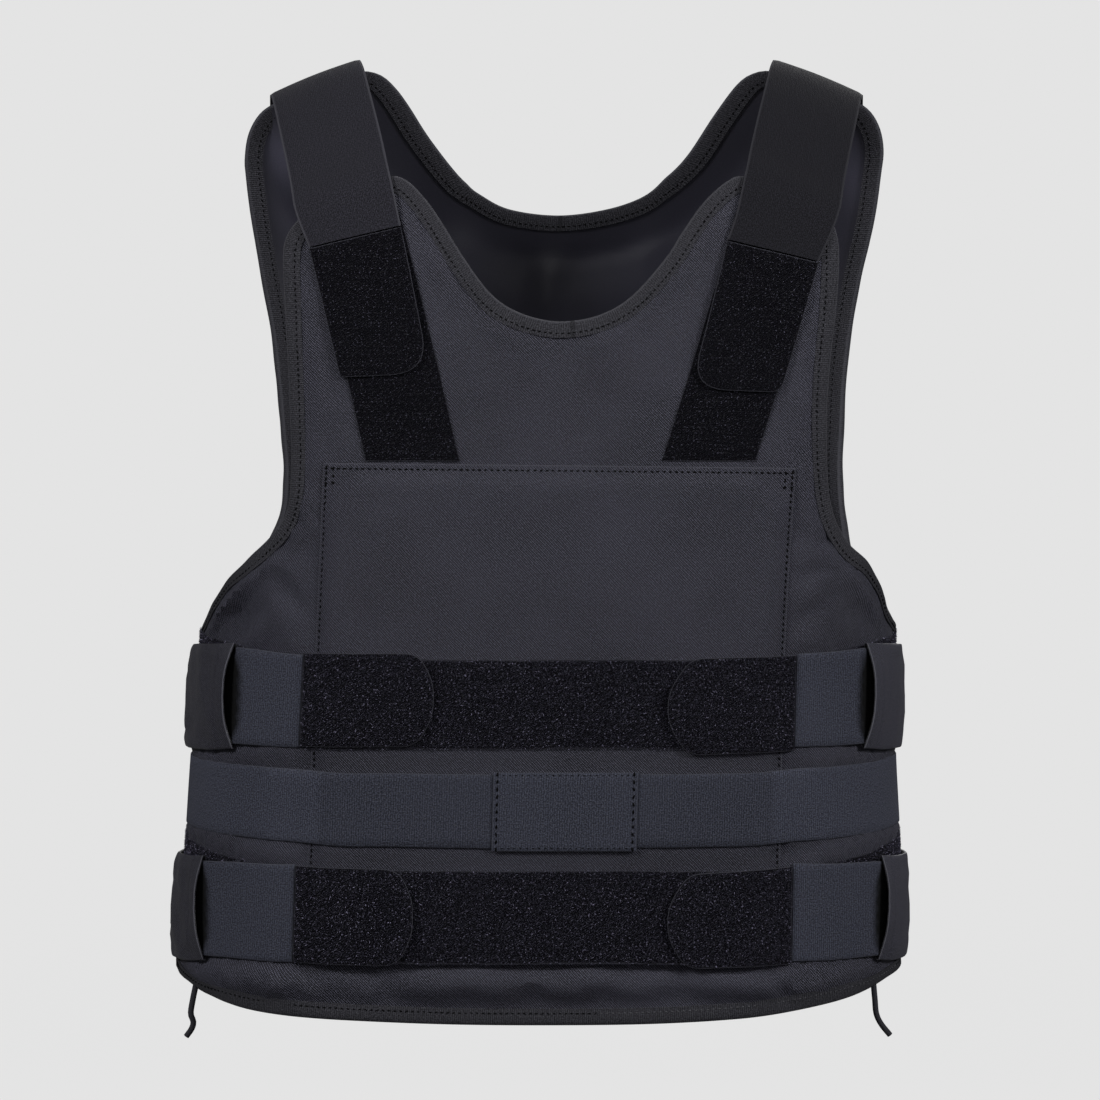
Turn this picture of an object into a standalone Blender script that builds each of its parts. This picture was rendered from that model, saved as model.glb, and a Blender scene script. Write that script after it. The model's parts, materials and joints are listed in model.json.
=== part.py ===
"""Protective vest: padded front and back panels, shoulder straps, side straps and waist band.

The vest is modelled as it is worn. X runs to the right as seen from the front, Y to the back
and Z up. The origin is level with the middle of the shoulder straps, where the vest sits.
Left and right in the names are as seen from the front.
"""
import math

import bpy
import numpy as np
from mathutils import Vector
from mathutils.geometry import delaunay_2d_cdt

MM = 0.001
NAME = "protective_vest"

# The outer face of the vest, from the shoulders down, in millimetres: height, place of the
# middle line, half width to the left and right silhouette, depth in front of and behind y = 0.
SECTION_COLUMNS = ("z", "centre", "left", "right", "front", "back")
SECTION = (
    (20, 6.5, 252, 252, 50, 46),
    (0, 6.5, 250, 250, 58, 53),
    (-60, 6.5, 245, 245, 77, 76),
    (-120, 6.5, 233, 233, 93, 100),
    (-180, 5.0, 220, 220, 104, 115),
    (-240, 2.3, 210, 210, 110, 121),
    (-300, -1.0, 204, 202, 113, 122),
    (-325, -2.2, 205, 201, 114, 121),
    (-400, -4.8, 208, 203, 114, 118),
    (-457, -6.2, 211, 208, 112, 118),
    (-520, -7.5, 214, 209, 109, 119),
    (-580, -8.5, 215, 210, 108, 120),
)
FRONT_FLAT = 115 * MM
FRONT_ROUND = 100 * MM
BACK_FLAT = 60 * MM
BACK_ROUND = 125 * MM
SIDE_LINE = FRONT_FLAT + FRONT_ROUND * math.pi / 2
BACK_LINE = SIDE_LINE + BACK_ROUND * math.pi / 2
HALF_GIRTH = BACK_LINE + BACK_FLAT
ROUND_STEPS = 10
BACK_STEP = (BACK_LINE - SIDE_LINE) / ROUND_STEPS
INSET_ROUNDS = 4
SHARP_ANGLE = 35

# Soft buckles of the hem: place across, half length and height.
BUCKLES = ((-150, 48, 2.2), (-20, 60, -1.4), (62, 52, 2.0), (118, 40, -1.2))
BUCKLE_TOP = -522 * MM
BUCKLE_FULL = -548 * MM

# Thicknesses and clearances of the cloth.
GAP = 0.3 * MM
TRIM_GAP = 0.75 * MM
TRIM_WALL = 1.0 * MM
TRIM_WIDTH = 9.6 * MM
PANEL_EDGE = 4.0 * MM
PANEL_CENTRE = 9.0 * MM
PANEL_RIM = 25 * MM
PANEL_RAMP = 35 * MM
TRIM_SLACK = 1.2 * MM
TRIM_ROOM = 1.9 * MM
OVER_TRIM = 2.3 * MM
PILE = 1.0 * MM
ELASTIC = 1.2 * MM
TAB = 1.8 * MM
POCKET = 1.2 * MM
PLATE = 3.0 * MM
PATCH = 1.0 * MM
POCKET_STEPS = (124.5, 133.8, 136.0, 140.0)
BACK_INSET = 8.6 * MM
# Where the padding thins out towards the side wings, as distances across.
FRONT_THINNING = (175 * MM, 228 * MM)
BACK_THINNING = (150 * MM, 205 * MM)

# Spacing of the points on an outline, and how the cutting lines meet it.
OUTLINE_STEP_FLAT = 22 * MM
OUTLINE_STEP_ROUND = 14 * MM
OUTLINE_STEP_DOWN = 27 * MM
LINE_OVERRUN = 5 * MM
POINT_TOLERANCE = 0.25 * MM
KINK_ROOM = 3 * MM

# The finished edge of the front panel. x from the middle line as seen from the front, height,
# and the distance that the cloth runs on past the silhouette, where x only gives the side.
FRONT_EDGE = (
    (2, -156, 0),
    (-14, -155, 0),
    (-31, -149, 0),
    (-44, -139, 0),
    (-58.3, -120, 0),
    (-72, -98, 0),
    (-80, -86.5, 0),
    (-90.5, -75.5, 0),
    (-101, -72.5, 0),
    (-122, -81, 0),
    (-141, -89.5, 0),
    (-152, -96, 0),
    (-160, -107, 0),
    (-161.8, -120, 0),
    (-159.5, -150, 0),
    (-156.8, -180, 0),
    (-154, -209, 0),
    (-151.5, -240, 0),
    (-153, -265, 0),
    (-160, -279, 0),
    (-174, -290, 0),
    (-186, -300, 0),
    (-198, -312, 0),
    (-1, -320, 8),
    (-1, -334, 24),
    (-1, -352, 30),
    (-1, -400, 30),
    (-1, -457, 30),
    (-1, -500, 30),
    (-1, -519, 22),
    (-1, -527, 6),
    (-206, -533, 0),
    (-190, -539.5, 0),
    (-164, -545, 0),
    (-118, -548.5, 0),
    (-60, -551, 0),
    (0, -551.7, 0),
    (60, -551, 0),
    (111, -548, 0),
    (152, -542.6, 0),
    (178, -538, 0),
    (196, -531.5, 0),
    (1, -524.5, 6),
    (1, -516, 22),
    (1, -498, 30),
    (1, -457, 30),
    (1, -400, 30),
    (1, -352, 30),
    (1, -337, 24),
    (1, -326, 10),
    (192, -313, 0),
    (184, -300, 0),
    (178.5, -291.5, 0),
    (165, -280, 0),
    (155.5, -264, 0),
    (151, -240, 0),
    (149.2, -209, 0),
    (150, -180, 0),
    (153, -150, 0),
    (154.5, -120, 0),
    (153.5, -107, 0),
    (149, -96, 0),
    (140, -89.5, 0),
    (121, -81, 0),
    (101, -72.5, 0),
    (90.5, -75.5, 0),
    (77, -88, 0),
    (65, -105, 0),
    (55.5, -120, 0),
    (37, -141.5, 0),
    (20, -152, 0),
)

# The finished edge of the back panel, in the same columns, measured round the back.
BACK_EDGE = (
    (-5, -80.5, 0),
    (-34, -77, 0),
    (-51, -69, 0),
    (-62.5, -60, 0),
    (-82, -36.6, 0),
    (-95, -17, 0),
    (-103, -6.5, 0),
    (-112, 1, 0),
    (-124, 3, 0),
    (-140, -2, 0),
    (-158, -9, 0),
    (-174, -15.5, 0),
    (-185, -23, 0),
    (-192, -35, 0),
    (-194.5, -50, 0),
    (-194, -60, 0),
    (-191, -86, 0),
    (-185.7, -120, 0),
    (-180, -150, 0),
    (-176, -180, 0),
    (-172, -210, 0),
    (-168.5, -240, 0),
    (-170.5, -268, 0),
    (-184, -300, 0),
    (-196, -325, 0),
    (-1, -348, 6),
    (-1, -362, 22),
    (-1, -380, 28),
    (-1, -400, 28),
    (-1, -457, 28),
    (-1, -476, 28),
    (-1, -494, 22),
    (-1, -510, 6),
    (-200, -528, 0),
    (-189, -535, 0),
    (-168, -538.5, 0),
    (-110, -541.5, 0),
    (-50, -544, 0),
    (10, -545, 0),
    (60, -544, 0),
    (115, -541.5, 0),
    (164, -538.5, 0),
    (185, -535, 0),
    (196, -528, 0),
    (1, -508, 6),
    (1, -492, 22),
    (1, -474, 28),
    (1, -457, 28),
    (1, -400, 28),
    (1, -380, 28),
    (1, -364, 22),
    (1, -350, 6),
    (192, -325, 0),
    (184, -300, 0),
    (176.8, -268, 0),
    (173.4, -240, 0),
    (173, -210, 0),
    (173.4, -180, 0),
    (175.8, -150, 0),
    (180, -120, 0),
    (186.5, -88, 0),
    (190, -60, 0),
    (191.3, -45, 0),
    (189, -32, 0),
    (183, -21.5, 0),
    (173, -14.5, 0),
    (158, -9, 0),
    (140, -2, 0),
    (124, 3, 0),
    (113, 2, 0),
    (103, -4.4, 0),
    (89.4, -22, 0),
    (73, -46, 0),
    (58.6, -60, 0),
    (46, -69.8, 0),
    (24, -77, 0),
)

# The plate pocket on the front, and the raised plate in it: x, height, corner radius.
POCKET_EDGE = ((-133.5, -236.2, 0), (-133.5, -497, 0), (133, -497, 0), (133, -239, 0))
PLATE_EDGE = (
    (-117, -246.5),
    (-126.5, -260),
    (-124, -340),
    (-123.5, -484),
    (123, -484),
    (122, -340),
    (124.5, -260),
    (112, -247.5),
)

# Level bands round the front: distance across, upper and lower edge.
UPPER_LOOP = ((0, -346, -396.3), (140, -346, -396.3), (193.5, -338.8, -389.3), (264, -334, -384.5))
LOWER_LOOP = ((0, -464, -516.5), (140, -464, -516.5), (193.5, -458, -510.5), (282, -451.5, -503.5))
WAIST_BAND = ((0, -410.5, -452), (110, -409.5, -450.5), (142, -407.5, -448.5), (272, -403.6, -443.5),
              (350.6, -401.5, -441))
BAND_PATCH = (-30, 51, -409, -453)

# Side straps: distance across, upper and lower edge, from the tab's seam into the sleeve.
UPPER_STRAP = ((140, -343.5, -395.5), (187, -340.3, -394.8), (225, -342.5, -396.6), (291, -343.5, -397.2))
LOWER_STRAP = ((140, -460.8, -516), (207, -462.2, -516.2), (240, -465.3, -518.8), (291, -465.8, -519.6))
# Sleeves: distance across, upper and lower edge, and how far the outer wall stands open.
UPPER_SLEEVE = ((187, -337.6, -397.4, 5.6), (209, -338.4, -399.2, 2.2), (272, -340.4, -400.4, 0),
                (350.6, -341, -400.4, 0))
LOWER_SLEEVE = ((207, -459.4, -518.8, 5.2), (225, -460.8, -521.2, 2.0), (272, -462.6, -522.6, 0),
                (350.6, -463, -522.6, 0))
SLEEVE_WALL = 1.0 * MM
SLEEVE_HALF = 1.9 * MM
SLEEVE_SLOPE = 1.8 * MM
SLEEVE_STATION_ROOM = 8 * MM
MOUTH_PEAK = 0.3
MOUTH_EDGE = 0.15
STRAP_RISE = (30 * MM, 8 * MM)

# Side tabs: name, seam, tip, upper and lower edge at the seam and at the tip, bulge of the tip.
SIDE_TABS = (
    ("upper_side_tab_left", -140, -64.4, -342.6, -395.0, -342.6, -394.8, 9),
    ("upper_side_tab_right", 140, 66.0, -343.8, -397.3, -345.5, -399.6, 12),
    ("lower_side_tab_left", -140, -73.0, -461.6, -516.0, -463.2, -517.6, 8),
    ("lower_side_tab_right", 140, 69.0, -462.0, -517.0, -466.0, -519.0, 11),
)
TAB_CORNER = 6
TAB_TIP_HALF = 9
TAB_TIP_CORNER = 14
TAB_CORNER_STEPS = 3
SHOULDER_CORNER_STEPS = 5

# Shoulder tabs: seam at the inner and outer edge, lower end at both edges, corner radii.
SHOULDER_TABS = (
    (-1, (94.2, -102.2), (145.7, -114.6), (125.6, -188.2), (75.5, -186.0), 3, 19),
    (1, (90.2, -110.3), (141.7, -122.8), (121.4, -196.8), (70.8, -194.6), 8, 17),
)
SHOULDER_LOOP = ((95.5, -92, 0), (56.3, -235.3, 0), (109.4, -235.3, 0), (142, -115, 0))

# Shoulder strap, from the seam over the shoulder to the back. Rows on the panels: inner x and
# height, outer x and height, lift over the outer face. Rows in the air: inner x, y, z and
# outer x, y, z.
STRAP_FRONT = ((95.6, -96, 147.5, -109, 2.6), (98, -83, 151, -101, 2.6), (101.6, -68, 154.6, -91.5, 2.7))
STRAP_AIR = (
    (104.5, -66, -55.5, 157.5, -69, -79.5),
    (110, -45, -34.5, 163, -48, -57.5),
    (115.5, -22, -15, 168.5, -25, -37.5),
    (120, 2, 0.5, 173.2, -1, -21.5),
    (123, 20, 6.8, 176, 17, -14.8),
    (124.4, 34, 8.6, 177.6, 31, -12.6),
    (124.8, 45.5, 7.2, 178, 39.5, -13.8),
)
STRAP_BACK = ((125, -6.5, 178, -27, 2.6), (124, -26, 176.5, -45, 2.1), (121.5, -50, 174, -66, 0.4))
STRAP_CROWN = 1.2 * MM
STRAP_COLUMNS = 4
STRAP_SEAM_LIFT = 2.0 * MM

# Hem ties: x of the end under the hem and its height, then steps out, back and down from there.
TIE_DIAMETER = 3.4 * MM
HEM_TIES = (
    (-201.5, -535.8, ((0, 0, 0), (-1.6, -0.6, -8), (-2.8, -0.6, -16), (-1.4, 0.4, -21), (-2.4, 1, -25),
                      (-5.6, 1.6, -29.6))),
    (191.5, -533.75, ((0, 0, 0), (0.8, 0, -9), (1.6, 0, -17), (4.4, 0.8, -23), (9.6, 1.8, -29.5))),
)
TIE_STEP = 4 * MM

# Colours: name, red, green, blue, roughness.
CLOTH_COLOURS = {
    "twill": (0.030, 0.030, 0.036, 0.85),
    "lining": (0.024, 0.024, 0.030, 0.45),
    "trim": (0.026, 0.026, 0.028, 0.80),
    "pile": (0.008, 0.008, 0.010, 0.95),
    "elastic": (0.028, 0.028, 0.033, 0.80),
}


def section_at(z):
    """Centre, half widths and depths of the outer face at a height, in metres."""
    table = np.array(SECTION[::-1], dtype=float) * MM
    heights = table[:, 0]
    return [float(np.interp(z, heights, table[:, k])) for k in range(1, len(SECTION_COLUMNS))]


def buckle(across, z):
    """Outward lift of the hem's soft buckles."""
    share = min(1.0, max(0.0, (BUCKLE_TOP - z) / (BUCKLE_TOP - BUCKLE_FULL)))
    lift = 0.0
    for place, reach, height in BUCKLES:
        away = abs(across / MM - place) / reach
        if away < 1.0:
            lift += height * MM * 0.5 * (1.0 + math.cos(math.pi * away))
    return lift * share


def outer_face(across, z, lift=0.0):
    """Point at a distance across the vest from the centre front, lifted off the outer face."""
    centre, left, right, front, back = section_at(z)
    side = -1.0 if across < 0 else 1.0
    half = left if side < 0 else right
    reach = abs(across)
    if reach <= FRONT_FLAT:
        x, y, normal_x, normal_y = reach, -front, 0.0, -1.0
    elif reach <= SIDE_LINE:
        turn = (reach - FRONT_FLAT) / FRONT_ROUND
        wide = half - FRONT_FLAT
        x, y = FRONT_FLAT + wide * math.sin(turn), -front * math.cos(turn)
        normal_x, normal_y = math.sin(turn) / wide, -math.cos(turn) / front
    elif reach <= BACK_LINE:
        turn = (BACK_LINE - reach) / BACK_ROUND
        wide = half - BACK_FLAT
        x, y = BACK_FLAT + wide * math.sin(turn), back * math.cos(turn)
        normal_x, normal_y = math.sin(turn) / wide, math.cos(turn) / back
    else:
        x, y, normal_x, normal_y = HALF_GIRTH - reach, back, 0.0, 1.0
    length = math.hypot(normal_x, normal_y)
    lift += buckle(across, z)
    x += normal_x / length * lift
    y += normal_y / length * lift
    return Vector((centre + side * x, y, z))


def back_face(across, z, lift=0.0):
    """Point at a distance across from the centre back, lifted off the back panel."""
    side = -1.0 if across < 0 else 1.0
    return outer_face(side * (HALF_GIRTH - abs(across)), z, lift - BACK_INSET)


def across_at(x, z, past=0.0, behind=False):
    """Distance across for an x as seen from the front, or past the silhouette on that side."""
    centre, left, right, front, back = section_at(z)
    half = left if x < 0 else right
    flat, bend = (BACK_FLAT, BACK_ROUND) if behind else (FRONT_FLAT, FRONT_ROUND)
    reach = flat + bend * math.pi / 2 + past
    if past == 0 and abs(x) <= flat:
        reach = abs(x)
    elif past == 0:
        reach = flat + bend * math.asin(min(1.0, (abs(x) - flat) / (half - flat)))
    if behind and past == 0:
        for _ in range(INSET_ROUNDS):
            reach += abs(x) - abs(back_face(math.copysign(reach, x), z).x - centre)
    return math.copysign(reach, x)


def grid_lines(behind=False):
    """Distances across where the faces bend: the flats' edges and equal steps of the rounds."""
    lines = [0.0, FRONT_FLAT / 2, FRONT_FLAT]
    for step in range(1, ROUND_STEPS + 1):
        lines.append(FRONT_FLAT + (SIDE_LINE - FRONT_FLAT) * step / ROUND_STEPS)
    for step in range(1, ROUND_STEPS + 1):
        lines.append(SIDE_LINE + (BACK_LINE - SIDE_LINE) * step / ROUND_STEPS)
    lines.append(HALF_GIRTH)
    if behind:
        lines = [HALF_GIRTH - line for line in lines]
    return sorted({round(side * line, 7) for line in lines for side in (-1, 1)})


def section_heights():
    """Heights of the section's rows."""
    return [row[0] * MM for row in SECTION]


def outline_pieces(start, end):
    """Number of spans for one stretch of an outline, more where it runs round the side."""
    level = OUTLINE_STEP_ROUND if max(abs(start.x), abs(end.x)) > FRONT_FLAT else OUTLINE_STEP_FLAT
    return max(1, math.ceil(max(abs(end.x - start.x) / level, abs(end.y - start.y) / OUTLINE_STEP_DOWN)))


def curve_point(before, start, end, after, t):
    """Point on the smooth curve from start to end, given the points on either side."""
    return 0.5 * (2 * start + (end - before) * t
                  + (2 * before - 5 * start + 4 * end - after) * t ** 2
                  + (3 * start - before - 3 * end + after) * t ** 3)


def smooth_loop(points):
    """Closed smooth curve through points in the plane."""
    count = len(points)
    curve = []
    for index in range(count):
        before, start, end, after = (Vector(points[(index + k) % count]) for k in (-1, 0, 1, 2))
        pieces = outline_pieces(start, end)
        curve += [curve_point(before, start, end, after, piece / pieces) for piece in range(pieces)]
    return curve


def edge_loop(rows, behind=False):
    """Finished edge of a panel on its plane: distance across and height."""
    points = [(across_at(x * MM, z * MM, past * MM, behind), z * MM) for x, z, past in rows]
    return smooth_loop(points)


def signed_area(loop):
    """Area inside a closed loop in the plane, negative where it runs clockwise."""
    return 0.5 * sum(loop[k - 1].x * loop[k].y - loop[k].x * loop[k - 1].y for k in range(len(loop)))


def inward_normals(loop):
    """Unit normals of a closed loop in the plane, towards its inside."""
    count = len(loop)
    turn = 1.0 if signed_area(loop) > 0 else -1.0
    normals = []
    for index in range(count):
        along = loop[(index + 1) % count] - loop[index - 1]
        normals.append(Vector((-along.y, along.x)).normalized() * turn)
    return normals


def inset_loop(loop, distance):
    """The loop moved inwards by a distance."""
    return [point + normal * distance for point, normal in zip(loop, inward_normals(loop))]


def rounded_corners(rows, steps=4):
    """Closed outline from corner rows of x, height and radius, in millimetres."""
    count = len(rows)
    outline = []
    for index in range(count):
        corner = Vector(rows[index][:2]) * MM
        radius = rows[index][2] * MM
        if radius == 0:
            outline.append(corner)
            continue
        to_last = (Vector(rows[index - 1][:2]) * MM - corner).normalized()
        to_next = (Vector(rows[(index + 1) % count][:2]) * MM - corner).normalized()
        half_angle = to_last.angle(to_next) / 2
        reach = radius / math.tan(half_angle)
        start, end = corner + to_last * reach, corner + to_next * reach
        for step in range(steps + 1):
            t = step / steps
            outline.append(start * (1 - t) ** 2 + corner * 2 * t * (1 - t) + end * t ** 2)
    return outline


def distance_to_loop(point, loop):
    """Shortest distance in the plane from a point to a closed loop."""
    nearest = 1.0
    for start, end in zip(loop, loop[1:] + loop[:1]):
        along = end - start
        share = max(0.0, min(1.0, (point - start).dot(along) / max(along.length_squared, 1e-12)))
        nearest = min(nearest, (point - start - along * share).length)
    return nearest


def inside_loop(point, loop):
    """Whether a point in the plane lies inside a closed loop."""
    inside = False
    for start, end in zip(loop, loop[1:] + loop[:1]):
        if (start.y > point.y) != (end.y > point.y):
            crossing = start.x + (point.y - start.y) / (end.y - start.y) * (end.x - start.x)
            inside = inside != (point.x < crossing)
    return inside


def region_mesh(name, outline, place, lift, lines, creases=()):
    """Open mesh of an outline in the plane, cut along the section's lines and laid on a face."""
    points = [Vector(point) for point in outline]
    if signed_area(points) < 0:
        points.reverse()
    edges = []
    low = Vector((min(p.x for p in points), min(p.y for p in points)))
    high = Vector((max(p.x for p in points), max(p.y for p in points)))
    for line in lines:
        if low.x < line < high.x:
            edges.append((len(points), len(points) + 1))
            points += [Vector((line, low.y - LINE_OVERRUN)), Vector((line, high.y + LINE_OVERRUN))]
    for height in section_heights():
        if low.y < height < high.y:
            edges.append((len(points), len(points) + 1))
            points += [Vector((low.x - LINE_OVERRUN, height)), Vector((high.x + LINE_OVERRUN, height))]
    for crease in creases:
        first = len(points)
        points += [Vector(point) for point in crease]
        edges += [(first + k, first + (k + 1) % len(crease)) for k in range(len(crease))]
    plane, _, triangles, _, _, owners = delaunay_2d_cdt(
        points, edges, [list(range(len(outline)))], 0, POINT_TOLERANCE)
    kept = [triangle for triangle, owner in zip(triangles, owners) if owner]
    used = sorted({index for triangle in kept for index in triangle})
    number = {index: k for k, index in enumerate(used)}
    flat = [plane[index] for index in used]
    solid_points = [place(p.x, p.y, lift(p.x, p.y)) for p in flat]
    turned = place is back_face
    faces = [[number[i] for i in (reversed(t) if turned else t)] for t in kept]
    mesh = bpy.data.meshes.new(name)
    mesh.from_pydata(solid_points, [], faces)
    return mesh, flat


def cloth_material(name, kind):
    """Principled material in one of the cloth colours."""
    red, green, blue, roughness = CLOTH_COLOURS[kind]
    material = bpy.data.materials.new(name)
    material.use_nodes = True
    shader = material.node_tree.nodes["Principled BSDF"]
    shader.inputs["Base Color"].default_value = (red, green, blue, 1.0)
    shader.inputs["Roughness"].default_value = roughness
    shader.inputs["Metallic"].default_value = 0.0
    material.diffuse_color = (red, green, blue, 1.0)
    return material


def add_piece(name, data, kind):
    """Object of one piece, in the vest's collection and with its own material."""
    data.materials.append(cloth_material(name + "_" + kind, kind))
    piece = bpy.data.objects.new(name, data)
    bpy.data.collections[NAME].objects.link(piece)
    if data.id_type == "MESH":
        data.shade_smooth()
        data.set_sharp_from_angle(angle=math.radians(SHARP_ANGLE))
    return piece


def thicken(piece, thickness, outwards, thin_share=1.0, weights=None):
    """Wall on an open surface, thinner where the weights are low."""
    wall = piece.modifiers.new("wall", "SOLIDIFY")
    wall.thickness = thickness
    wall.offset = 1.0 if outwards else -1.0
    if weights:
        group = piece.vertex_groups.new(name="fill")
        for index, weight in enumerate(weights):
            group.add([index], weight, "REPLACE")
        wall.vertex_group = "fill"
        wall.thickness_vertex_group = thin_share
    return piece


def panel_fill(across, edge_distance, behind):
    """Share of the full padding, none at the edge and in the thin side wings."""
    first, last = BACK_THINNING if behind else FRONT_THINNING
    wing = min(1.0, max(0.0, (last - abs(across)) / (last - first)))
    return wing * min(1.0, max(0.0, edge_distance - PANEL_RIM) / PANEL_RAMP)


def padded_panel(name, rows, kind, behind=False):
    """Padded panel inside its finished edge, its outer face on the section."""
    loop = inset_loop(edge_loop(rows, behind), TRIM_WALL + TRIM_ROOM)
    place = back_face if behind else outer_face
    mesh, flat = region_mesh(name, loop, place, lambda a, z: 0.0, grid_lines(behind))
    weights = [panel_fill(p.x, distance_to_loop(p, loop), behind) for p in flat]
    piece = add_piece(name, mesh, kind)
    return thicken(piece, PANEL_CENTRE, False, PANEL_EDGE / PANEL_CENTRE, weights)


def edge_binding(name, rows, behind=False):
    """Folded tape round a panel's edge: a channel that takes in both faces."""
    loop = edge_loop(rows, behind)
    normals = inward_normals(loop)
    place = back_face if behind else outer_face
    inner = TRIM_WALL + TRIM_GAP

    def ring(point, normal):
        """Corners of the channel's section at one point of the edge."""
        corners = (
            (TRIM_WIDTH, inner),
            (0.0, inner),
            (0.0, -PANEL_EDGE - inner),
            (TRIM_WIDTH, -PANEL_EDGE - TRIM_SLACK - TRIM_WALL),
            (TRIM_WIDTH, -PANEL_EDGE - TRIM_SLACK),
            (TRIM_WALL, -PANEL_EDGE - TRIM_GAP),
            (TRIM_WALL, TRIM_GAP),
            (TRIM_WIDTH, TRIM_GAP),
        )
        planar = [(point + normal * inward, lift) for inward, lift in corners]
        return [place(p.x, p.y, lift) for p, lift in planar]

    rings = [ring(point, normal) for point, normal in zip(loop, normals)]
    return add_piece(name, loft(name, rings, closed=True, inwards=behind), "trim")


def loft(name, rings, closed, inwards=False):
    """Mesh of quads between rings of equal count, closed round or open at both ends."""
    width = len(rings[0])
    spans = len(rings) if closed else len(rings) - 1
    faces = []
    for row in range(spans):
        following = (row + 1) % len(rings)
        for column in range(width):
            side = (column + 1) % width
            near, far = row * width, following * width
            face = (near + column, near + side, far + side, far + column)
            faces.append(face[::-1] if inwards else face)
    mesh = bpy.data.meshes.new(name)
    mesh.from_pydata([point for ring in rings for point in ring], [], faces)
    return mesh


def over_pocket(across):
    """Lift of a band that crosses the pocket: over the plate, its rim and down to the panel."""
    rim = GAP + POCKET + GAP
    lifts = (rim + PLATE, rim, rim, GAP)
    return float(np.interp(abs(across) / MM, POCKET_STEPS, lifts))


def band_lines():
    """Section lines and the lines where a band comes down from the plate and the pocket."""
    steps = [side * place * MM for side in (-1, 1) for place in POCKET_STEPS]
    return sorted(grid_lines() + steps)


def rear_lift(across, lift):
    """Lift that clears the front panel's bound side edge, then comes down to the back panel."""
    past = (abs(across) - SIDE_LINE) / BACK_STEP
    over_edge = max(lift, OVER_TRIM)
    on_back = GAP - BACK_INSET
    return float(np.interp(past, (0, 1, 2, 3), (lift, over_edge, over_edge, on_back)))


def band_edges(rows, across):
    """Upper and lower edge of a level band at a distance across."""
    table = np.array(rows, dtype=float) * MM
    return [float(np.interp(abs(across), table[:, 0], table[:, k])) for k in (1, 2)]


def band_outline(rows, start, end):
    """Outline of a level band between two distances across."""
    kinks = [side * row[0] * MM for row in rows for side in (-1, 1)]
    lines = [line for line in band_lines() if min(abs(line - kink) for kink in kinks) > KINK_ROOM]
    stops = sorted({round(stop, 7) for stop in lines + kinks if start < stop < end} | {start, end})
    lower = [(stop, band_edges(rows, stop)[1]) for stop in stops]
    upper = [(stop, band_edges(rows, stop)[0]) for stop in reversed(stops)]
    return lower + upper


def level_band(name, rows, start, end, lift, thickness, kind):
    """Band of one thickness laid across the vest."""
    mesh, _ = region_mesh(name, band_outline(rows, start, end), outer_face, lift, band_lines())
    return thicken(add_piece(name, mesh, kind), thickness, True)


def plate_pocket():
    """Sewn pocket on the front, raised over its plate."""
    outline = rounded_corners(POCKET_EDGE)
    plate = [Vector(point) * MM for point in PLATE_EDGE]
    mesh, flat = region_mesh("plate_pocket", outline, outer_face, lambda a, z: GAP, grid_lines(), (plate,))
    raised = [inside_loop(p, plate) or distance_to_loop(p, plate) < POINT_TOLERANCE for p in flat]
    weights = [1.0 if up else 0.0 for up in raised]
    piece = add_piece("plate_pocket", mesh, "twill")
    return thicken(piece, POCKET + PLATE, True, POCKET / (POCKET + PLATE), weights)


def side_tab(name, seam, tip, top_seam, low_seam, top_tip, low_tip, bulge):
    """Pile-faced tab on a loop band, its free end bowed with rounded corners."""
    side = 1 if seam > 0 else -1
    back = tip + side * bulge
    middle = (top_tip + low_tip) / 2
    rows = (
        (seam, top_seam, 0),
        (back, top_tip, TAB_CORNER),
        (tip, middle + TAB_TIP_HALF, TAB_TIP_CORNER),
        (tip, middle - TAB_TIP_HALF, TAB_TIP_CORNER),
        (back, low_tip, TAB_CORNER),
        (seam, low_seam, 0),
    )
    outline = rounded_corners(rows, TAB_CORNER_STEPS)
    mesh, _ = region_mesh(
        name, outline, outer_face,
        lambda a, z: over_pocket(a) + PILE + GAP, band_lines())
    return thicken(add_piece(name, mesh, "pile"), TAB, True)


def side_strap(name, rows, side):
    """Elastic strap from a tab's seam into its sleeve."""
    start, end = sorted((side * rows[0][0] * MM + side * 2 * GAP, side * rows[-1][0] * MM))

    def lift(across, z):
        """Lift over the loop band, then inside the sleeve."""
        inside = OVER_TRIM + SLEEVE_WALL + GAP
        on_band = GAP + PILE + GAP
        rise = [rows[1][0] * MM - before for before in STRAP_RISE]
        return rear_lift(across, float(np.interp(abs(across), rise, (on_band, inside))))

    return level_band(name, rows, start, end, lift, ELASTIC, "elastic")


def sleeve(name, rows, side):
    """Flat cloth tube that a side strap slides in, standing open at its mouth."""
    table = np.array(rows, dtype=float) * MM
    first, last, room = table[0, 0], table[-1, 0], SLEEVE_STATION_ROOM
    stations = [first] + [line for line in grid_lines() if first + room < line < last - room] + [last]
    rings = []
    for station in stations:
        top, low, open_by = (float(np.interp(station, table[:, 0], table[:, k])) for k in (1, 2, 3))
        base = rear_lift(station, OVER_TRIM)
        middle = base + SLEEVE_HALF
        peak = MOUTH_PEAK * (top - low)
        corners = (
            (top - SLEEVE_SLOPE, middle + SLEEVE_HALF + MOUTH_EDGE * open_by),
            (top - peak, middle + SLEEVE_HALF + open_by),
            (low + peak, middle + SLEEVE_HALF + open_by),
            (low + SLEEVE_SLOPE, middle + SLEEVE_HALF + MOUTH_EDGE * open_by),
            (low, middle),
            (low + SLEEVE_SLOPE, base),
            (top - SLEEVE_SLOPE, base),
            (top, middle),
        )
        rings.append([outer_face(side * station, z, lift) for z, lift in corners])
    mesh = loft(name, rings, closed=False, inwards=side < 0)
    return thicken(add_piece(name, mesh, "twill"), SLEEVE_WALL, False)


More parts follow.
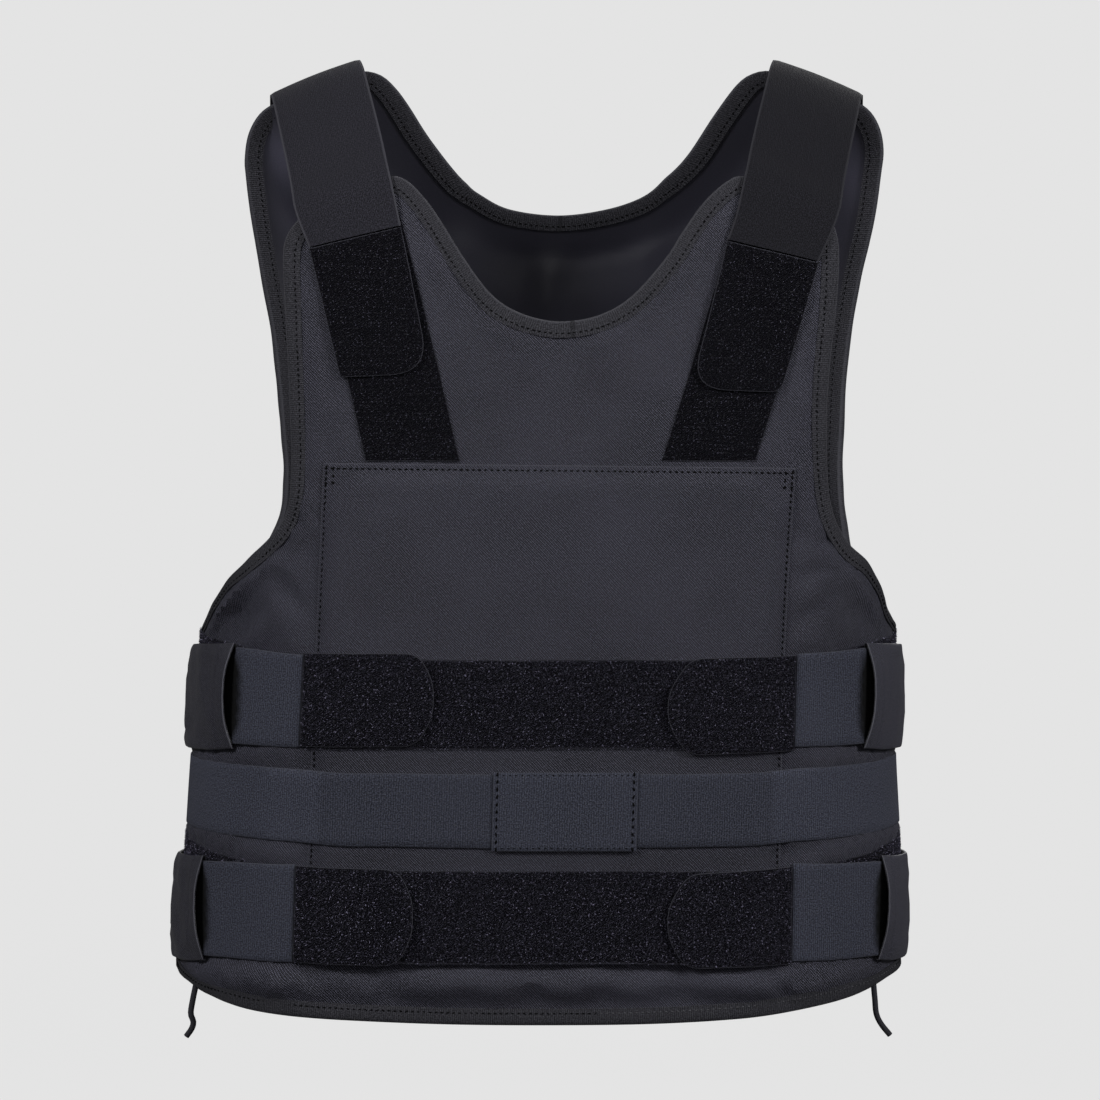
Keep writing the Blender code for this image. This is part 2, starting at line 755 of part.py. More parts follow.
def shoulder_loop(name, side):
    """Pile strip sewn on the chest, from under the strap to the pocket."""
    rows = [(side * x, z, radius) for x, z, radius in SHOULDER_LOOP]
    outline = [(across_at(p.x, p.y), p.y) for p in rounded_corners(rows)]
    mesh, _ = region_mesh(name, outline, outer_face, lambda a, z: GAP, grid_lines())
    return thicken(add_piece(name, mesh, "pile"), PILE, True)


def shoulder_tab(name, side, seam_in, seam_out, low_out, low_in, corner_out, corner_in):
    """Pile-faced tab that holds the shoulder strap on the chest."""
    corners = (seam_in + (0,), seam_out + (0,), low_out + (corner_out,), low_in + (corner_in,))
    rows = [(side * x, z, radius) for x, z, radius in corners]
    outline = [(across_at(p.x, p.y), p.y) for p in rounded_corners(rows, SHOULDER_CORNER_STEPS)]
    mesh, _ = region_mesh(name, outline, outer_face, lambda a, z: GAP + PILE + GAP, grid_lines())
    return thicken(add_piece(name, mesh, "pile"), TAB, True)


def shoulder_strap(name, side, seam_in, seam_out):
    """Elastic strap from the tab's seam over the shoulder to the back panel."""
    def across_row(inner, outer, crown):
        """Points from the inner to the outer edge, crowned in the middle."""
        row = []
        for column in range(STRAP_COLUMNS + 1):
            t = column / STRAP_COLUMNS
            point = inner.lerp(outer, t)
            point.z += crown * math.sin(math.pi * t)
            row.append(point)
        return row

    def panel_row(x_in, z_in, x_out, z_out, lift, behind=False):
        """Row that lies on a panel."""
        row = []
        for column in range(STRAP_COLUMNS + 1):
            t = column / STRAP_COLUMNS
            x = side * (x_in + (x_out - x_in) * t) * MM
            z = (z_in + (z_out - z_in) * t) * MM
            place = back_face if behind else outer_face
            row.append(place(across_at(x, z, 0.0, behind), z, lift * MM))
        return row

    seam_lift = STRAP_SEAM_LIFT / MM
    clear = 2 * GAP / MM
    grid = [panel_row(seam_in[0], seam_in[1] + clear, seam_out[0], seam_out[1] + clear, seam_lift)]
    grid += [panel_row(*row) for row in STRAP_FRONT]
    for x_in, y_in, z_in, x_out, y_out, z_out in STRAP_AIR:
        centre = section_at(z_in * MM)[0]
        inner = Vector((centre + side * x_in * MM, y_in * MM, z_in * MM))
        outer = Vector((centre + side * x_out * MM, y_out * MM, z_out * MM))
        grid.append(across_row(inner, outer, STRAP_CROWN))
    grid += [panel_row(*row, behind=True) for row in STRAP_BACK]
    width = STRAP_COLUMNS + 1
    faces = []
    for row in range(len(grid) - 1):
        for column in range(STRAP_COLUMNS):
            first = row * width + column
            face = (first, first + 1, first + width + 1, first + width)
            faces.append(face if side > 0 else face[::-1])
    mesh = bpy.data.meshes.new(name)
    mesh.from_pydata([point for row in grid for point in row], [], faces)
    return thicken(add_piece(name, mesh, "elastic"), ELASTIC, True)


def hem_tie(name, x, z, steps):
    """Tape end that hangs from the hem, as a tube along its middle."""
    top = outer_face(across_at(x * MM, z * MM), z * MM, -PANEL_EDGE / 2)
    route = [top + Vector(step) * MM for step in steps]
    ends = [2 * route[0] - route[1]] + route + [2 * route[-1] - route[-2]]
    points = []
    for index in range(1, len(ends) - 2):
        before, start, end, after = ends[index - 1:index + 3]
        pieces = max(1, round((end - start).length / TIE_STEP))
        points += [curve_point(before, start, end, after, piece / pieces) for piece in range(pieces)]
    points.append(route[-1])
    curve = bpy.data.curves.new(name, "CURVE")
    curve.dimensions = "3D"
    curve.bevel_depth = TIE_DIAMETER / 2
    curve.bevel_resolution = 2
    curve.use_fill_caps = True
    spline = curve.splines.new("POLY")
    spline.points.add(len(points) - 1)
    for spot, point in zip(spline.points, points):
        spot.co = (*point, 1.0)
    return add_piece(name, curve, "trim")


def build_panels():
    """The two padded panels with their bindings, and the pocket."""
    padded_panel("front_panel", FRONT_EDGE, "twill")
    padded_panel("back_panel", BACK_EDGE, "lining", behind=True)
    edge_binding("front_binding", FRONT_EDGE)
    edge_binding("back_binding", BACK_EDGE, behind=True)
    plate_pocket()


def build_front_bands():
    """The loop strips across the front, the waist band and its patch."""
    for name, rows in (("upper_loop_strip", UPPER_LOOP), ("lower_loop_strip", LOWER_LOOP)):
        loop_end = rows[-1][0] * MM
        level_band(name, rows, -loop_end, loop_end, lambda a, z: over_pocket(a), PILE, "pile")
    band_end = WAIST_BAND[-1][0] * MM
    level_band("waist_band", WAIST_BAND, -band_end, band_end,
               lambda a, z: rear_lift(a, over_pocket(a)), ELASTIC, "elastic")
    left, right, top, low = (value * MM for value in BAND_PATCH)
    outline = [(left, low), (right, low), (right, top), (left, top)]
    mesh, _ = region_mesh("band_patch", outline, outer_face,
                          lambda a, z: over_pocket(a) + ELASTIC + GAP, band_lines())
    thicken(add_piece("band_patch", mesh, "elastic"), PATCH, True)


def build_side_straps():
    """The four side straps, their sleeves and their tabs."""
    for side, word in ((-1, "left"), (1, "right")):
        side_strap("upper_side_strap_" + word, UPPER_STRAP, side)
        side_strap("lower_side_strap_" + word, LOWER_STRAP, side)
        sleeve("upper_sleeve_" + word, UPPER_SLEEVE, side)
        sleeve("lower_sleeve_" + word, LOWER_SLEEVE, side)
    for row in SIDE_TABS:
        side_tab(*row)


def build_shoulders():
    """The shoulder straps, their tabs and the loop strips under them."""
    for side, seam_in, seam_out, low_out, low_in, corner_out, corner_in in SHOULDER_TABS:
        word = "left" if side < 0 else "right"
        shoulder_loop("shoulder_loop_strip_" + word, side)
        shoulder_tab("shoulder_tab_" + word, side, seam_in, seam_out, low_out, low_in, corner_out, corner_in)
        shoulder_strap("shoulder_strap_" + word, side, seam_in, seam_out)


def build_ties():
    """The two tape ends at the hem's corners."""
    for x, z, steps in HEM_TIES:
        hem_tie("hem_tie_" + ("left" if x < 0 else "right"), x, z, steps)


def main():
    """Clear the scene and build the vest."""
    for thing in list(bpy.data.objects):
        bpy.data.objects.remove(thing, do_unlink=True)
    collection = bpy.data.collections.new(NAME)
    bpy.context.scene.collection.children.link(collection)
    build_panels()
    build_front_bands()
    build_side_straps()
    build_shoulders()
    build_ties()


main()
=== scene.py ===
"""Looks of a protective vest as it is worn: cloth, tape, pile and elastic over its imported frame.

Lengths are metres. Across is the distance round the vest from the centre front, or from the
centre back for the back panel, and lift is the distance off the vest's outer face.
"""
import json
import logging
import math
from collections.abc import Callable, Sequence
from dataclasses import dataclass, field
from enum import Enum
from typing import ClassVar

import bmesh
import bpy
import numpy as np
from bpy.types import Material, Mesh, Node, NodeSocket, NodeTree, Object
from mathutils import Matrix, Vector
from mathutils.geometry import delaunay_2d_cdt

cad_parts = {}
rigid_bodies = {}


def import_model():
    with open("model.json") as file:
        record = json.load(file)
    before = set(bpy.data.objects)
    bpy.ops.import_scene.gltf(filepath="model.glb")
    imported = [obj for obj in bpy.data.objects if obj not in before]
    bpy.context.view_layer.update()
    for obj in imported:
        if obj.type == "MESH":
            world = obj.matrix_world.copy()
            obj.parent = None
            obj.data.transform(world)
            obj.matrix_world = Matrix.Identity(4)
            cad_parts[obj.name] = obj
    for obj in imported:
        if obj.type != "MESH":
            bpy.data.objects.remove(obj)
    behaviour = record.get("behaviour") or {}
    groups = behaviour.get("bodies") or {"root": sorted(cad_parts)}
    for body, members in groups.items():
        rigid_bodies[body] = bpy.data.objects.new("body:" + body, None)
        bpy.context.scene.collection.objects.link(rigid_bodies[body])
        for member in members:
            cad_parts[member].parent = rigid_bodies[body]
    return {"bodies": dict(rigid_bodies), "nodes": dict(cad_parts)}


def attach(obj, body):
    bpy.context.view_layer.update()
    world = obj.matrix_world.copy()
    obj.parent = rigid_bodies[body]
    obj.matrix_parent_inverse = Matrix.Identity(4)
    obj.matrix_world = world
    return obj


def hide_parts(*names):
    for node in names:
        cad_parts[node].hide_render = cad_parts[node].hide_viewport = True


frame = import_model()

MM = 0.001
BODY = "root"
LOG = logging.getLogger("vest")
Array = np.ndarray
Field = Callable[[Array, Array], Array]
Rows = tuple[tuple[float, ...], ...]

SECTION_MM = (
    (20, 6.5, 252, 252, 50, 46),
    (0, 6.5, 250, 250, 58, 53),
    (-60, 6.5, 245, 245, 77, 76),
    (-120, 6.5, 233, 233, 93, 100),
    (-180, 5.0, 220, 220, 104, 115),
    (-240, 2.3, 210, 210, 110, 121),
    (-300, -1.0, 204, 202, 113, 122),
    (-325, -2.2, 205, 201, 114, 121),
    (-400, -4.8, 208, 203, 114, 118),
    (-457, -6.2, 211, 208, 112, 118),
    (-520, -7.5, 214, 209, 109, 119),
    (-580, -8.5, 215, 210, 108, 120),
)

FRONT_EDGE_MM = (
    (2, -156), (-14, -155), (-31, -149), (-44, -139), (-58.3, -120), (-72, -98), (-80, -86.5),
    (-90.5, -75.5), (-101, -72.5), (-122, -81), (-141, -89.5), (-152, -96), (-160, -107),
    (-161.8, -120), (-159.5, -150), (-156.8, -180), (-154, -209), (-151.5, -240), (-151.6, -258),
    (-155.5, -270), (-163.8, -279.4), (-175.6, -290.6), (-187, -301.9), (-195, -313.4), (-201, -325),
    (-1, -337, 10), (-1, -352, 26), (-1, -400, 30), (-1, -457, 30), (-1, -500, 30), (-1, -519, 22),
    (-1, -527, 6), (-206, -533), (-190, -539.5), (-164, -545), (-118, -548.5), (-60, -551), (0, -551.7),
    (60, -551), (111, -548), (152, -542.6), (178, -538), (196, -531.5), (1, -524.5, 6), (1, -516, 22),
    (1, -498, 30), (1, -457, 30), (1, -400, 30), (1, -352, 30), (1, -342, 22), (1, -333, 5),
    (194.5, -321), (190, -311), (184.5, -301), (178, -291.5), (165, -280), (155.5, -264), (151, -240),
    (149.2, -209), (150, -180), (153, -150), (154.5, -120), (153.5, -107), (149, -96), (140, -89.5),
    (121, -81), (101, -72.5), (90.5, -75.5), (77, -88), (65, -105), (55.5, -120), (37, -141.5),
    (20, -152),
)

BACK_EDGE_MM = (
    (-5, -80.5), (-34, -77), (-51, -69), (-62.5, -60), (-82, -36.6), (-95, -17), (-103, -6.5),
    (-112, 1), (-124, 3), (-140, -2), (-158, -9), (-174, -15.5), (-185, -23), (-192, -35),
    (-194.5, -50), (-194, -60), (-191, -86), (-185.7, -120), (-180, -150), (-176, -180), (-172, -210),
    (-168.5, -240), (-170.5, -268), (-184, -300), (-196, -325), (-1, -348, 6), (-1, -362, 22),
    (-1, -380, 28), (-1, -400, 28), (-1, -457, 28), (-1, -476, 28), (-1, -494, 22), (-1, -510, 6),
    (-200, -528), (-189, -535), (-168, -538.5), (-110, -541.5), (-50, -544), (10, -545), (60, -544),
    (115, -541.5), (164, -538.5), (185, -535), (196, -528), (1, -508, 6), (1, -492, 22), (1, -474, 28),
    (1, -457, 28), (1, -400, 28), (1, -380, 28), (1, -364, 22), (1, -350, 6), (188, -330), (183, -300),
    (176.8, -268), (173.4, -240), (173, -210), (173.4, -180), (175.8, -150), (180, -120), (186.5, -88),
    (190, -60), (191.3, -45), (189, -32), (183, -21.5), (173, -14.5), (158, -9), (140, -2), (124, 3),
    (113, 2), (103, -4.4), (89.4, -22), (73, -46), (58.6, -60), (46, -69.8), (24, -77),
)


class Side(Enum):
    """Left and right as seen from the front."""

    LEFT = -1
    RIGHT = 1

    @property
    def word(self) -> str:
        """The side's name in a piece's name."""
        return self.name.lower()


class Cloth(Enum):
    """The record's material slots."""

    TWILL = "twill"
    LINING = "lining"
    TRIM = "trim"
    PILE = "pile"
    ELASTIC = "elastic"


@dataclass(frozen=True)
class TorsoForm:
    """The vest's outer face: level sections with flat front and back and rounded sides."""

    front_flat: float = 115 * MM
    front_round: float = 100 * MM
    back_flat: float = 60 * MM
    back_round: float = 125 * MM
    inset: float = 8.6 * MM
    smoothing: float = 16 * MM

    @property
    def side_line(self) -> float:
        """Distance across of the silhouette."""
        return self.front_flat + self.front_round * math.pi / 2

    @property
    def back_line(self) -> float:
        """Distance across of the back flat's edge."""
        return self.side_line + self.back_round * math.pi / 2

    @property
    def half_girth(self) -> float:
        """Distance across of the centre back."""
        return self.back_line + self.back_flat

    def section(self, z: Array) -> list[Array]:
        """Centre, left and right half widths, and front and back depths.

        Args:
            z: Heights.

        Returns:
            One array for each column, smoothed over the table's rows.
        """
        table = np.array(SECTION_MM[::-1], dtype=float) * MM
        spots = (-self.smoothing, -self.smoothing / 2, 0.0, self.smoothing / 2, self.smoothing)
        return [np.mean([np.interp(z + s, table[:, 0], table[:, k]) for s in spots], axis=0)
                for k in range(1, 6)]

    def point(self, across: Array, z: Array, lift: Array | float = 0.0) -> Array:
        """Points on the outer face.

        Args:
            across: Distances across from the centre front.
            z: Heights.
            lift: Distances off the face.

        Returns:
            One row of x, y and z for each point.
        """
        across, z = np.broadcast_arrays(np.asarray(across, float), np.asarray(z, float))
        centre, left, right, front, back = self.section(z)
        side = np.where(across < 0, -1.0, 1.0)
        half = np.where(across < 0, left, right)
        reach = np.abs(across)
        ahead = np.clip((reach - self.front_flat) / self.front_round, 0, math.pi / 2)
        rear = np.clip((self.back_line - reach) / self.back_round, 0, math.pi / 2)
        is_front = reach <= self.side_line
        flat = np.where(is_front, self.front_flat, self.back_flat)
        turn = np.where(is_front, ahead, rear)
        depth = np.where(is_front, -front, back)
        wide = half - flat
        level = np.where(is_front, np.minimum(reach, self.front_flat),
                         np.minimum(self.half_girth - reach, self.back_flat))
        x = level + wide * np.sin(turn)
        y = depth * np.cos(turn)
        normal_x = np.sin(turn) / wide
        normal_y = np.cos(turn) / depth
        size = np.hypot(normal_x, normal_y)
        x = x + normal_x / size * lift
        y = y + normal_y / size * lift
        return np.stack([centre + side * x, y, z], axis=-1)

    def behind(self, across: Array, z: Array, lift: Array | float = 0.0) -> Array:
        """Points on the back panel's outer face, with distances across from the centre back."""
        across = np.asarray(across, float)
        side = np.where(across < 0, -1.0, 1.0)
        return self.point(side * (self.half_girth - np.abs(across)), z, lift - self.inset)

    def across_at(self, x: float, z: float, past: float = 0.0, behind: bool = False) -> float:
        """Distance across for a place as seen from the front.

        Args:
            x: Distance from the middle line, which gives the side.
            z: Height.
            past: Distance past the silhouette, which takes the place of x.
            behind: Whether to measure on the back panel.

        Returns:
            The distance across, negative on the left.
        """
        centre, left, right, _, _ = (float(v) for v in self.section(np.array(z)))
        half = left if x < 0 else right
        flat, bend = (self.back_flat, self.back_round) if behind else (self.front_flat, self.front_round)
        if past > 0:
            return math.copysign(flat + bend * math.pi / 2 + past, x)
        share = min(1.0, (abs(x) - flat) / (half - flat))
        reach = abs(x) if share <= 0 else flat + bend * math.asin(share)
        for _ in range(4 if behind else 0):
            found = self.behind(np.array(math.copysign(reach, x)), np.array(z))
            reach += abs(x) - abs(float(found[0]) - centre)
        return math.copysign(reach, x)


FORM = TorsoForm()


def smooth_curve(points: Array, step: float, closed: bool) -> Array:
    """Evenly spaced points on a smooth curve.

    Args:
        points: The points that the curve goes through, one row each.
        step: Largest spacing.
        closed: Whether the curve joins up.

    Returns:
        The new points.
    """
    points = np.asarray(points, float)
    count = len(points)
    ends = np.vstack([points[-1:], points, points[:2]]) if closed else np.vstack(
        [2 * points[:1] - points[1:2], points, 2 * points[-1:] - points[-2:-1]])
    fine = []
    for k in range(count if closed else count - 1):
        before, start, end, after = ends[k:k + 4]
        t = np.linspace(0, 1, 12, endpoint=False)[:, None]
        bend = (2 * before - 5 * start + 4 * end - after) * t ** 2
        twist = (3 * start - before - 3 * end + after) * t ** 3
        fine.append(0.5 * (2 * start + (end - before) * t + bend + twist))
    curve = np.vstack(fine + [points[:1] if closed else points[-1:]])
    run = np.concatenate([[0], np.cumsum(np.linalg.norm(np.diff(curve, axis=0), axis=1))])
    pieces = max(2, math.ceil(run[-1] / step))
    marks = np.linspace(0, run[-1], pieces + 1)
    even = np.stack([np.interp(marks, run, curve[:, k]) for k in range(curve.shape[1])], axis=1)
    return even[:-1] if closed else even


def dense_polygon(corners: Array, step: float) -> Array:
    """Points at most a step apart along a closed polygon that keeps its corners."""
    rows = []
    for start, end in zip(corners, np.roll(corners, -1, axis=0)):
        pieces = max(1, math.ceil(np.linalg.norm(end - start) / step))
        rows.append(start + (end - start) * (np.arange(pieces) / pieces)[:, None])
    return np.vstack(rows)


def rounded(rows: Rows, steps: int = 6) -> Array:
    """Closed outline with rounded corners.

    Args:
        rows: x, height and corner radius in millimetres.
        steps: Spans in each corner.

    Returns:
        The outline in metres.
    """
    spots = [np.array(row[:2]) * MM for row in rows]
    outline = []
    for k, row in enumerate(rows):
        corner, radius = spots[k], row[2] * MM
        if radius == 0:
            outline.append(corner)
            continue
        back = spots[k - 1] - corner
        ahead = spots[(k + 1) % len(rows)] - corner
        room = 0.47 * min(np.linalg.norm(back), np.linalg.norm(ahead))
        back, ahead = back / np.linalg.norm(back), ahead / np.linalg.norm(ahead)
        reach = min(room, radius / math.tan(math.acos(float(np.clip(back @ ahead, -1, 1))) / 2))
        for t in np.linspace(0, 1, steps + 1):
            outline.append((corner + back * reach) * (1 - t) ** 2 + corner * 2 * t * (1 - t)
                           + (corner + ahead * reach) * t ** 2)
    return np.array(outline)


def counter_clockwise(loop: Array) -> Array:
    """The loop, turned round if it runs clockwise."""
    following = np.roll(loop, -1, axis=0)
    area = float(np.sum(loop[:, 0] * following[:, 1] - loop[:, 1] * following[:, 0]))
    return loop if area > 0 else loop[::-1]


def inward(loop: Array) -> Array:
    """Unit normals of a counter-clockwise loop, towards its inside."""
    along = np.roll(loop, -1, axis=0) - np.roll(loop, 1, axis=0)
    normal = np.stack([-along[:, 1], along[:, 0]], axis=1)
    return normal / np.linalg.norm(normal, axis=1, keepdims=True)


def loop_distance(points: Array, loop: Array) -> Array:
    """Shortest distance in the plane from each point to a closed loop.

    Args:
        points: The points.
        loop: The loop's points in order.

    Returns:
        One distance for each point.
    """
    start, end = loop, np.roll(loop, -1, axis=0)
    along = end - start
    length = np.maximum(np.sum(along ** 2, axis=1), 1e-14)
    nearest = np.full(len(points), 1e9)
    for a, d, size in zip(start, along, length):
        away = points - a
        t = np.clip(away @ d / size, 0, 1)
        nearest = np.minimum(nearest, np.linalg.norm(away - t[:, None] * d, axis=1))
    return nearest


def inside(points: Array, loop: Array) -> Array:
    """Whether each point lies inside a closed loop.

    Args:
        points: The points.
        loop: The loop's points in order.

    Returns:
        One truth value for each point.
    """
    hit = np.zeros(len(points), bool)
    for start, end in zip(loop, np.roll(loop, -1, axis=0)):
        crosses = (start[1] > points[:, 1]) != (end[1] > points[:, 1])
        slope = (end[0] - start[0]) / (end[1] - start[1]) if end[1] != start[1] else 0.0
        hit ^= crosses & (points[:, 0] < start[0] + (points[:, 1] - start[1]) * slope)
    return hit


def ease(value: Array | float, low: float, high: float) -> Array:
    """Smooth step from 0 at low to 1 at high."""
    t = np.clip((np.asarray(value, float) - low) / (high - low), 0, 1)
    return t * t * (3 - 2 * t)


def bump(value: Array, centre: float, reach: float) -> Array:
    """Smooth hump of height 1 about a centre."""
    away = np.clip(np.abs(np.asarray(value, float) - centre) / reach, 0, 1)
    return 0.5 * (1 + np.cos(math.pi * away))


@dataclass(frozen=True)
class WaveNoise:
    """Smooth repeatable noise from a few sine waves."""

    seed: int
    wavelength: float
    waves: int = 7

    def __call__(self, a: Array, b: Array) -> Array:
        """Noise between about -1 and 1 at points of the plane.

        Args:
            a: First coordinate.
            b: Second coordinate.

        Returns:
            One value for each point.
        """
        rng = np.random.default_rng(self.seed)
        total = np.zeros(np.broadcast(a, b).shape)
        for _ in range(self.waves):
            angle = rng.uniform(0, math.pi)
            length = self.wavelength * rng.uniform(0.6, 1.7)
            phase = rng.uniform(0, 2 * math.pi)
            along = a * math.cos(angle) + b * math.sin(angle)
            total = total + np.sin(2 * math.pi * along / length + phase)
        return total / math.sqrt(self.waves) * 0.8


CREASES_MM = (
    (-196, -331, -156, -291, 4.2, 4.6),
    (-188, -338, -156, -310, 9, -3.4),
    (-164, -322, -146, -304, 15, 2.6),
    (-140, -268, -146, -250, 9, 1.4),
    (186, -326, 152, -287, 4.6, 2.2),
    (180, -334, 160, -310, 10, -1.8),
    (150, -318, 142, -296, 17, 1.4),
    (-150, -523, -140, -540, 5, 1.4),
    (-136, -521, -118, -533, 5, -1.6),
    (-92, -522, -84, -538, 7, -1.0),
    (124, -520, 139, -538, 4.2, -2.6),
    (-152, -404, -120, -406, 5, -1.0),
    (150, -452, 120, -456, 5, -1.0),
)

HEM_ROLL_MM = (
    (-250, 1.0), (-190, 3.0), (-172, 4.5), (-152, 6.2), (-134, 3.6), (-110, 2.4), (-86, 4.0), (-64, 6.6),
    (22, 6.6), (46, 4.4), (80, 3.4), (98, 5.6), (118, 5.6), (136, 4.8), (152, 3.0), (182, 2.0), (250, 1.0),
)


@dataclass(frozen=True)
class FrontFolds:
    """Soft shape of the front as worn, which everything that lies on the front follows."""

    hem_crest: float = -528 * MM
    hem_reach: float = 12.5 * MM

    def creases(self, across: Array, z: Array) -> Array:
        """Lift of the ridges and valleys named in the table.

        Args:
            across: Distances across.
            z: Heights.

        Returns:
            Lift off the face.
        """
        total = np.zeros(np.broadcast(across, z).shape)
        for x_0, z_0, x_1, z_1, reach, height in CREASES_MM:
            start = np.array([FORM.across_at(x_0 * MM, z_0 * MM), z_0 * MM])
            end = np.array([FORM.across_at(x_1 * MM, z_1 * MM), z_1 * MM])
            along = end - start
            t = ((across - start[0]) * along[0] + (z - start[1]) * along[1]) / float(along @ along)
            near = np.clip(t, 0, 1)
            away = np.hypot(across - start[0] - near * along[0], z - start[1] - near * along[1])
            fade = 0.35 + 0.65 * np.sin(math.pi * np.clip(t, 0.08, 0.92))
            total = total + height * MM * fade * np.exp(-(away / (reach * MM)) ** 2)
        return total

    def __call__(self, across: Array, z: Array) -> Array:
        """Lift off the plain outer face.

        Args:
            across: Distances across.
            z: Heights.

        Returns:
            The lift at each place.
        """
        across, z = np.asarray(across, float), np.asarray(z, float)
        table = np.array(HEM_ROLL_MM) * MM
        roll = np.interp(across, table[:, 0], table[:, 1])
        slack = WaveNoise(7, 60 * MM)(across, z) * 0.5 * MM
        broad = WaveNoise(3, 150 * MM)(across, z) * 0.5 * MM * ease(-z, 0.10, 0.30)
        return (roll + slack) * bump(z, self.hem_crest, self.hem_reach) + broad + self.creases(across, z)


FOLDS = FrontFolds()


def even(value: float) -> Field:
    """The same value everywhere."""
    return lambda across, z: np.full(np.shape(across), value)


def in_scene(name: str, data: bpy.types.ID) -> Object:
    """Add an object with that data to the scene."""
    thing = bpy.data.objects.new(name, data)
    bpy.context.scene.collection.objects.link(thing)
    return thing


@dataclass
class MeshParts:
    """Vertices, faces and their extras while a piece is put together."""

    points: list[Array] = field(default_factory=list)
    plane: list[Array] = field(default_factory=list)
    rim: list[Array] = field(default_factory=list)
    tone: list[Array] = field(default_factory=list)
    faces: list[tuple[int, ...]] = field(default_factory=list)
    materials: list[int] = field(default_factory=list)
    count: int = 0

    def add_points(self, points: Array, plane: Array, rim: Array, tone: Array | float = 0.0) -> int:
        """Add vertices with their place in the plane and distance from the rim.

        Args:
            points: One row of x, y and z each.
            plane: One row of distance across and height each.
            rim: Distance from the piece's edge.
            tone: How much paler than its finish the cloth is there, as a share; it carries painted light
                and shade, and in a few places the cloth's own tint.

        Returns:
            The number of the first new vertex.
        """
        first = self.count
        self.points.append(np.asarray(points, float))
        self.plane.append(np.asarray(plane, float))
        self.rim.append(np.asarray(rim, float))
        self.tone.append(np.broadcast_to(np.asarray(tone, float), (len(points),)))
        self.count += len(points)
        return first

    def add_faces(self, faces: Sequence[tuple[int, ...]], material: int = 0) -> None:
        """Add faces with the number of their material."""
        self.faces.extend(faces)
        self.materials.extend([material] * len(faces))

    def bridge(self, first: int, second: int, width: int, turned: bool = False) -> None:
        """Join two rings of vertices with quads.

        Args:
            first: Number of the first ring's first vertex.
            second: Number of the second ring's first vertex.
            width: Vertices in a ring.
            turned: Whether the faces are turned round.
        """
        for k in range(width):
            following = (k + 1) % width
            face = (first + k, first + following, second + following, second + k)
            self.add_faces([face[::-1] if turned else face])

    def make(self, name: str, materials: Sequence[Material]) -> Object:
        """Make the object, with a UV map in metres, an edge attribute and a tone attribute that carries
        painted light and shade and some of the cloth's own tint.

        Args:
            name: The object's name.
            materials: Its materials.

        Returns:
            The new object, linked to the scene.
        """
        points, plane, rim = np.vstack(self.points), np.vstack(self.plane), np.concatenate(self.rim)
        mesh = bpy.data.meshes.new(name)
        mesh.from_pydata(points.tolist(), [], self.faces)
        layer = mesh.uv_layers.new(name="cloth")
        corners = np.zeros(len(mesh.loops), np.int32)
        mesh.loops.foreach_get("vertex_index", corners)
        layer.data.foreach_set("uv", plane[corners].astype(np.float32).ravel())
        for label, values in (("edge", MM / (MM + np.abs(rim))), ("tone", np.concatenate(self.tone))):
            attribute = mesh.attributes.new(label, "FLOAT", "POINT")
            attribute.data.foreach_set("value", values.astype(np.float32))
        for material in materials:
            mesh.materials.append(material)
        mesh.polygons.foreach_set("material_index", np.array(self.materials, np.int32))
        mesh.shade_smooth()
        mesh.set_sharp_from_angle(angle=math.radians(50))
        return in_scene(name, mesh)


def lattice_triangles(loop: Array, cell: float) -> tuple[Array, list[tuple[int, ...]]]:
    """Triangles that fill a closed loop.

    Args:
        loop: Counter-clockwise outline in the plane.
        cell: Spacing of the inner points.

    Returns:
        The points, with the loop's first and in order, and the triangles.
    """
    low, high = loop.min(0), loop.max(0)
    xs = np.arange(low[0] + cell / 2, high[0], cell)
    ys = np.arange(low[1] + cell / 2, high[1], cell)
    rows = [np.stack([xs + (cell / 4 if k % 2 else -cell / 4), np.full(len(xs), y)], axis=1)
            for k, y in enumerate(ys)]
    inner = np.vstack(rows)
    inner = inner[inside(inner, loop)]
    inner = inner[loop_distance(inner, loop) > cell * 0.45]
    points = np.vstack([loop, inner])
    found, _, faces, origins, _, owners = delaunay_2d_cdt(
        [Vector(p) for p in points], [], [list(range(len(loop)))], 0, 1e-7)
    place = {old: new for new, olds in enumerate(origins) for old in olds}
    order = {place[old]: old for old in range(len(points))}
    triangles = [tuple(order[i] for i in face) for face, owner in zip(faces, owners) if owner]
    if len(found) != len(points):
        LOG.warning("outline points merged: %d of %d", len(found), len(points))
    return points, triangles


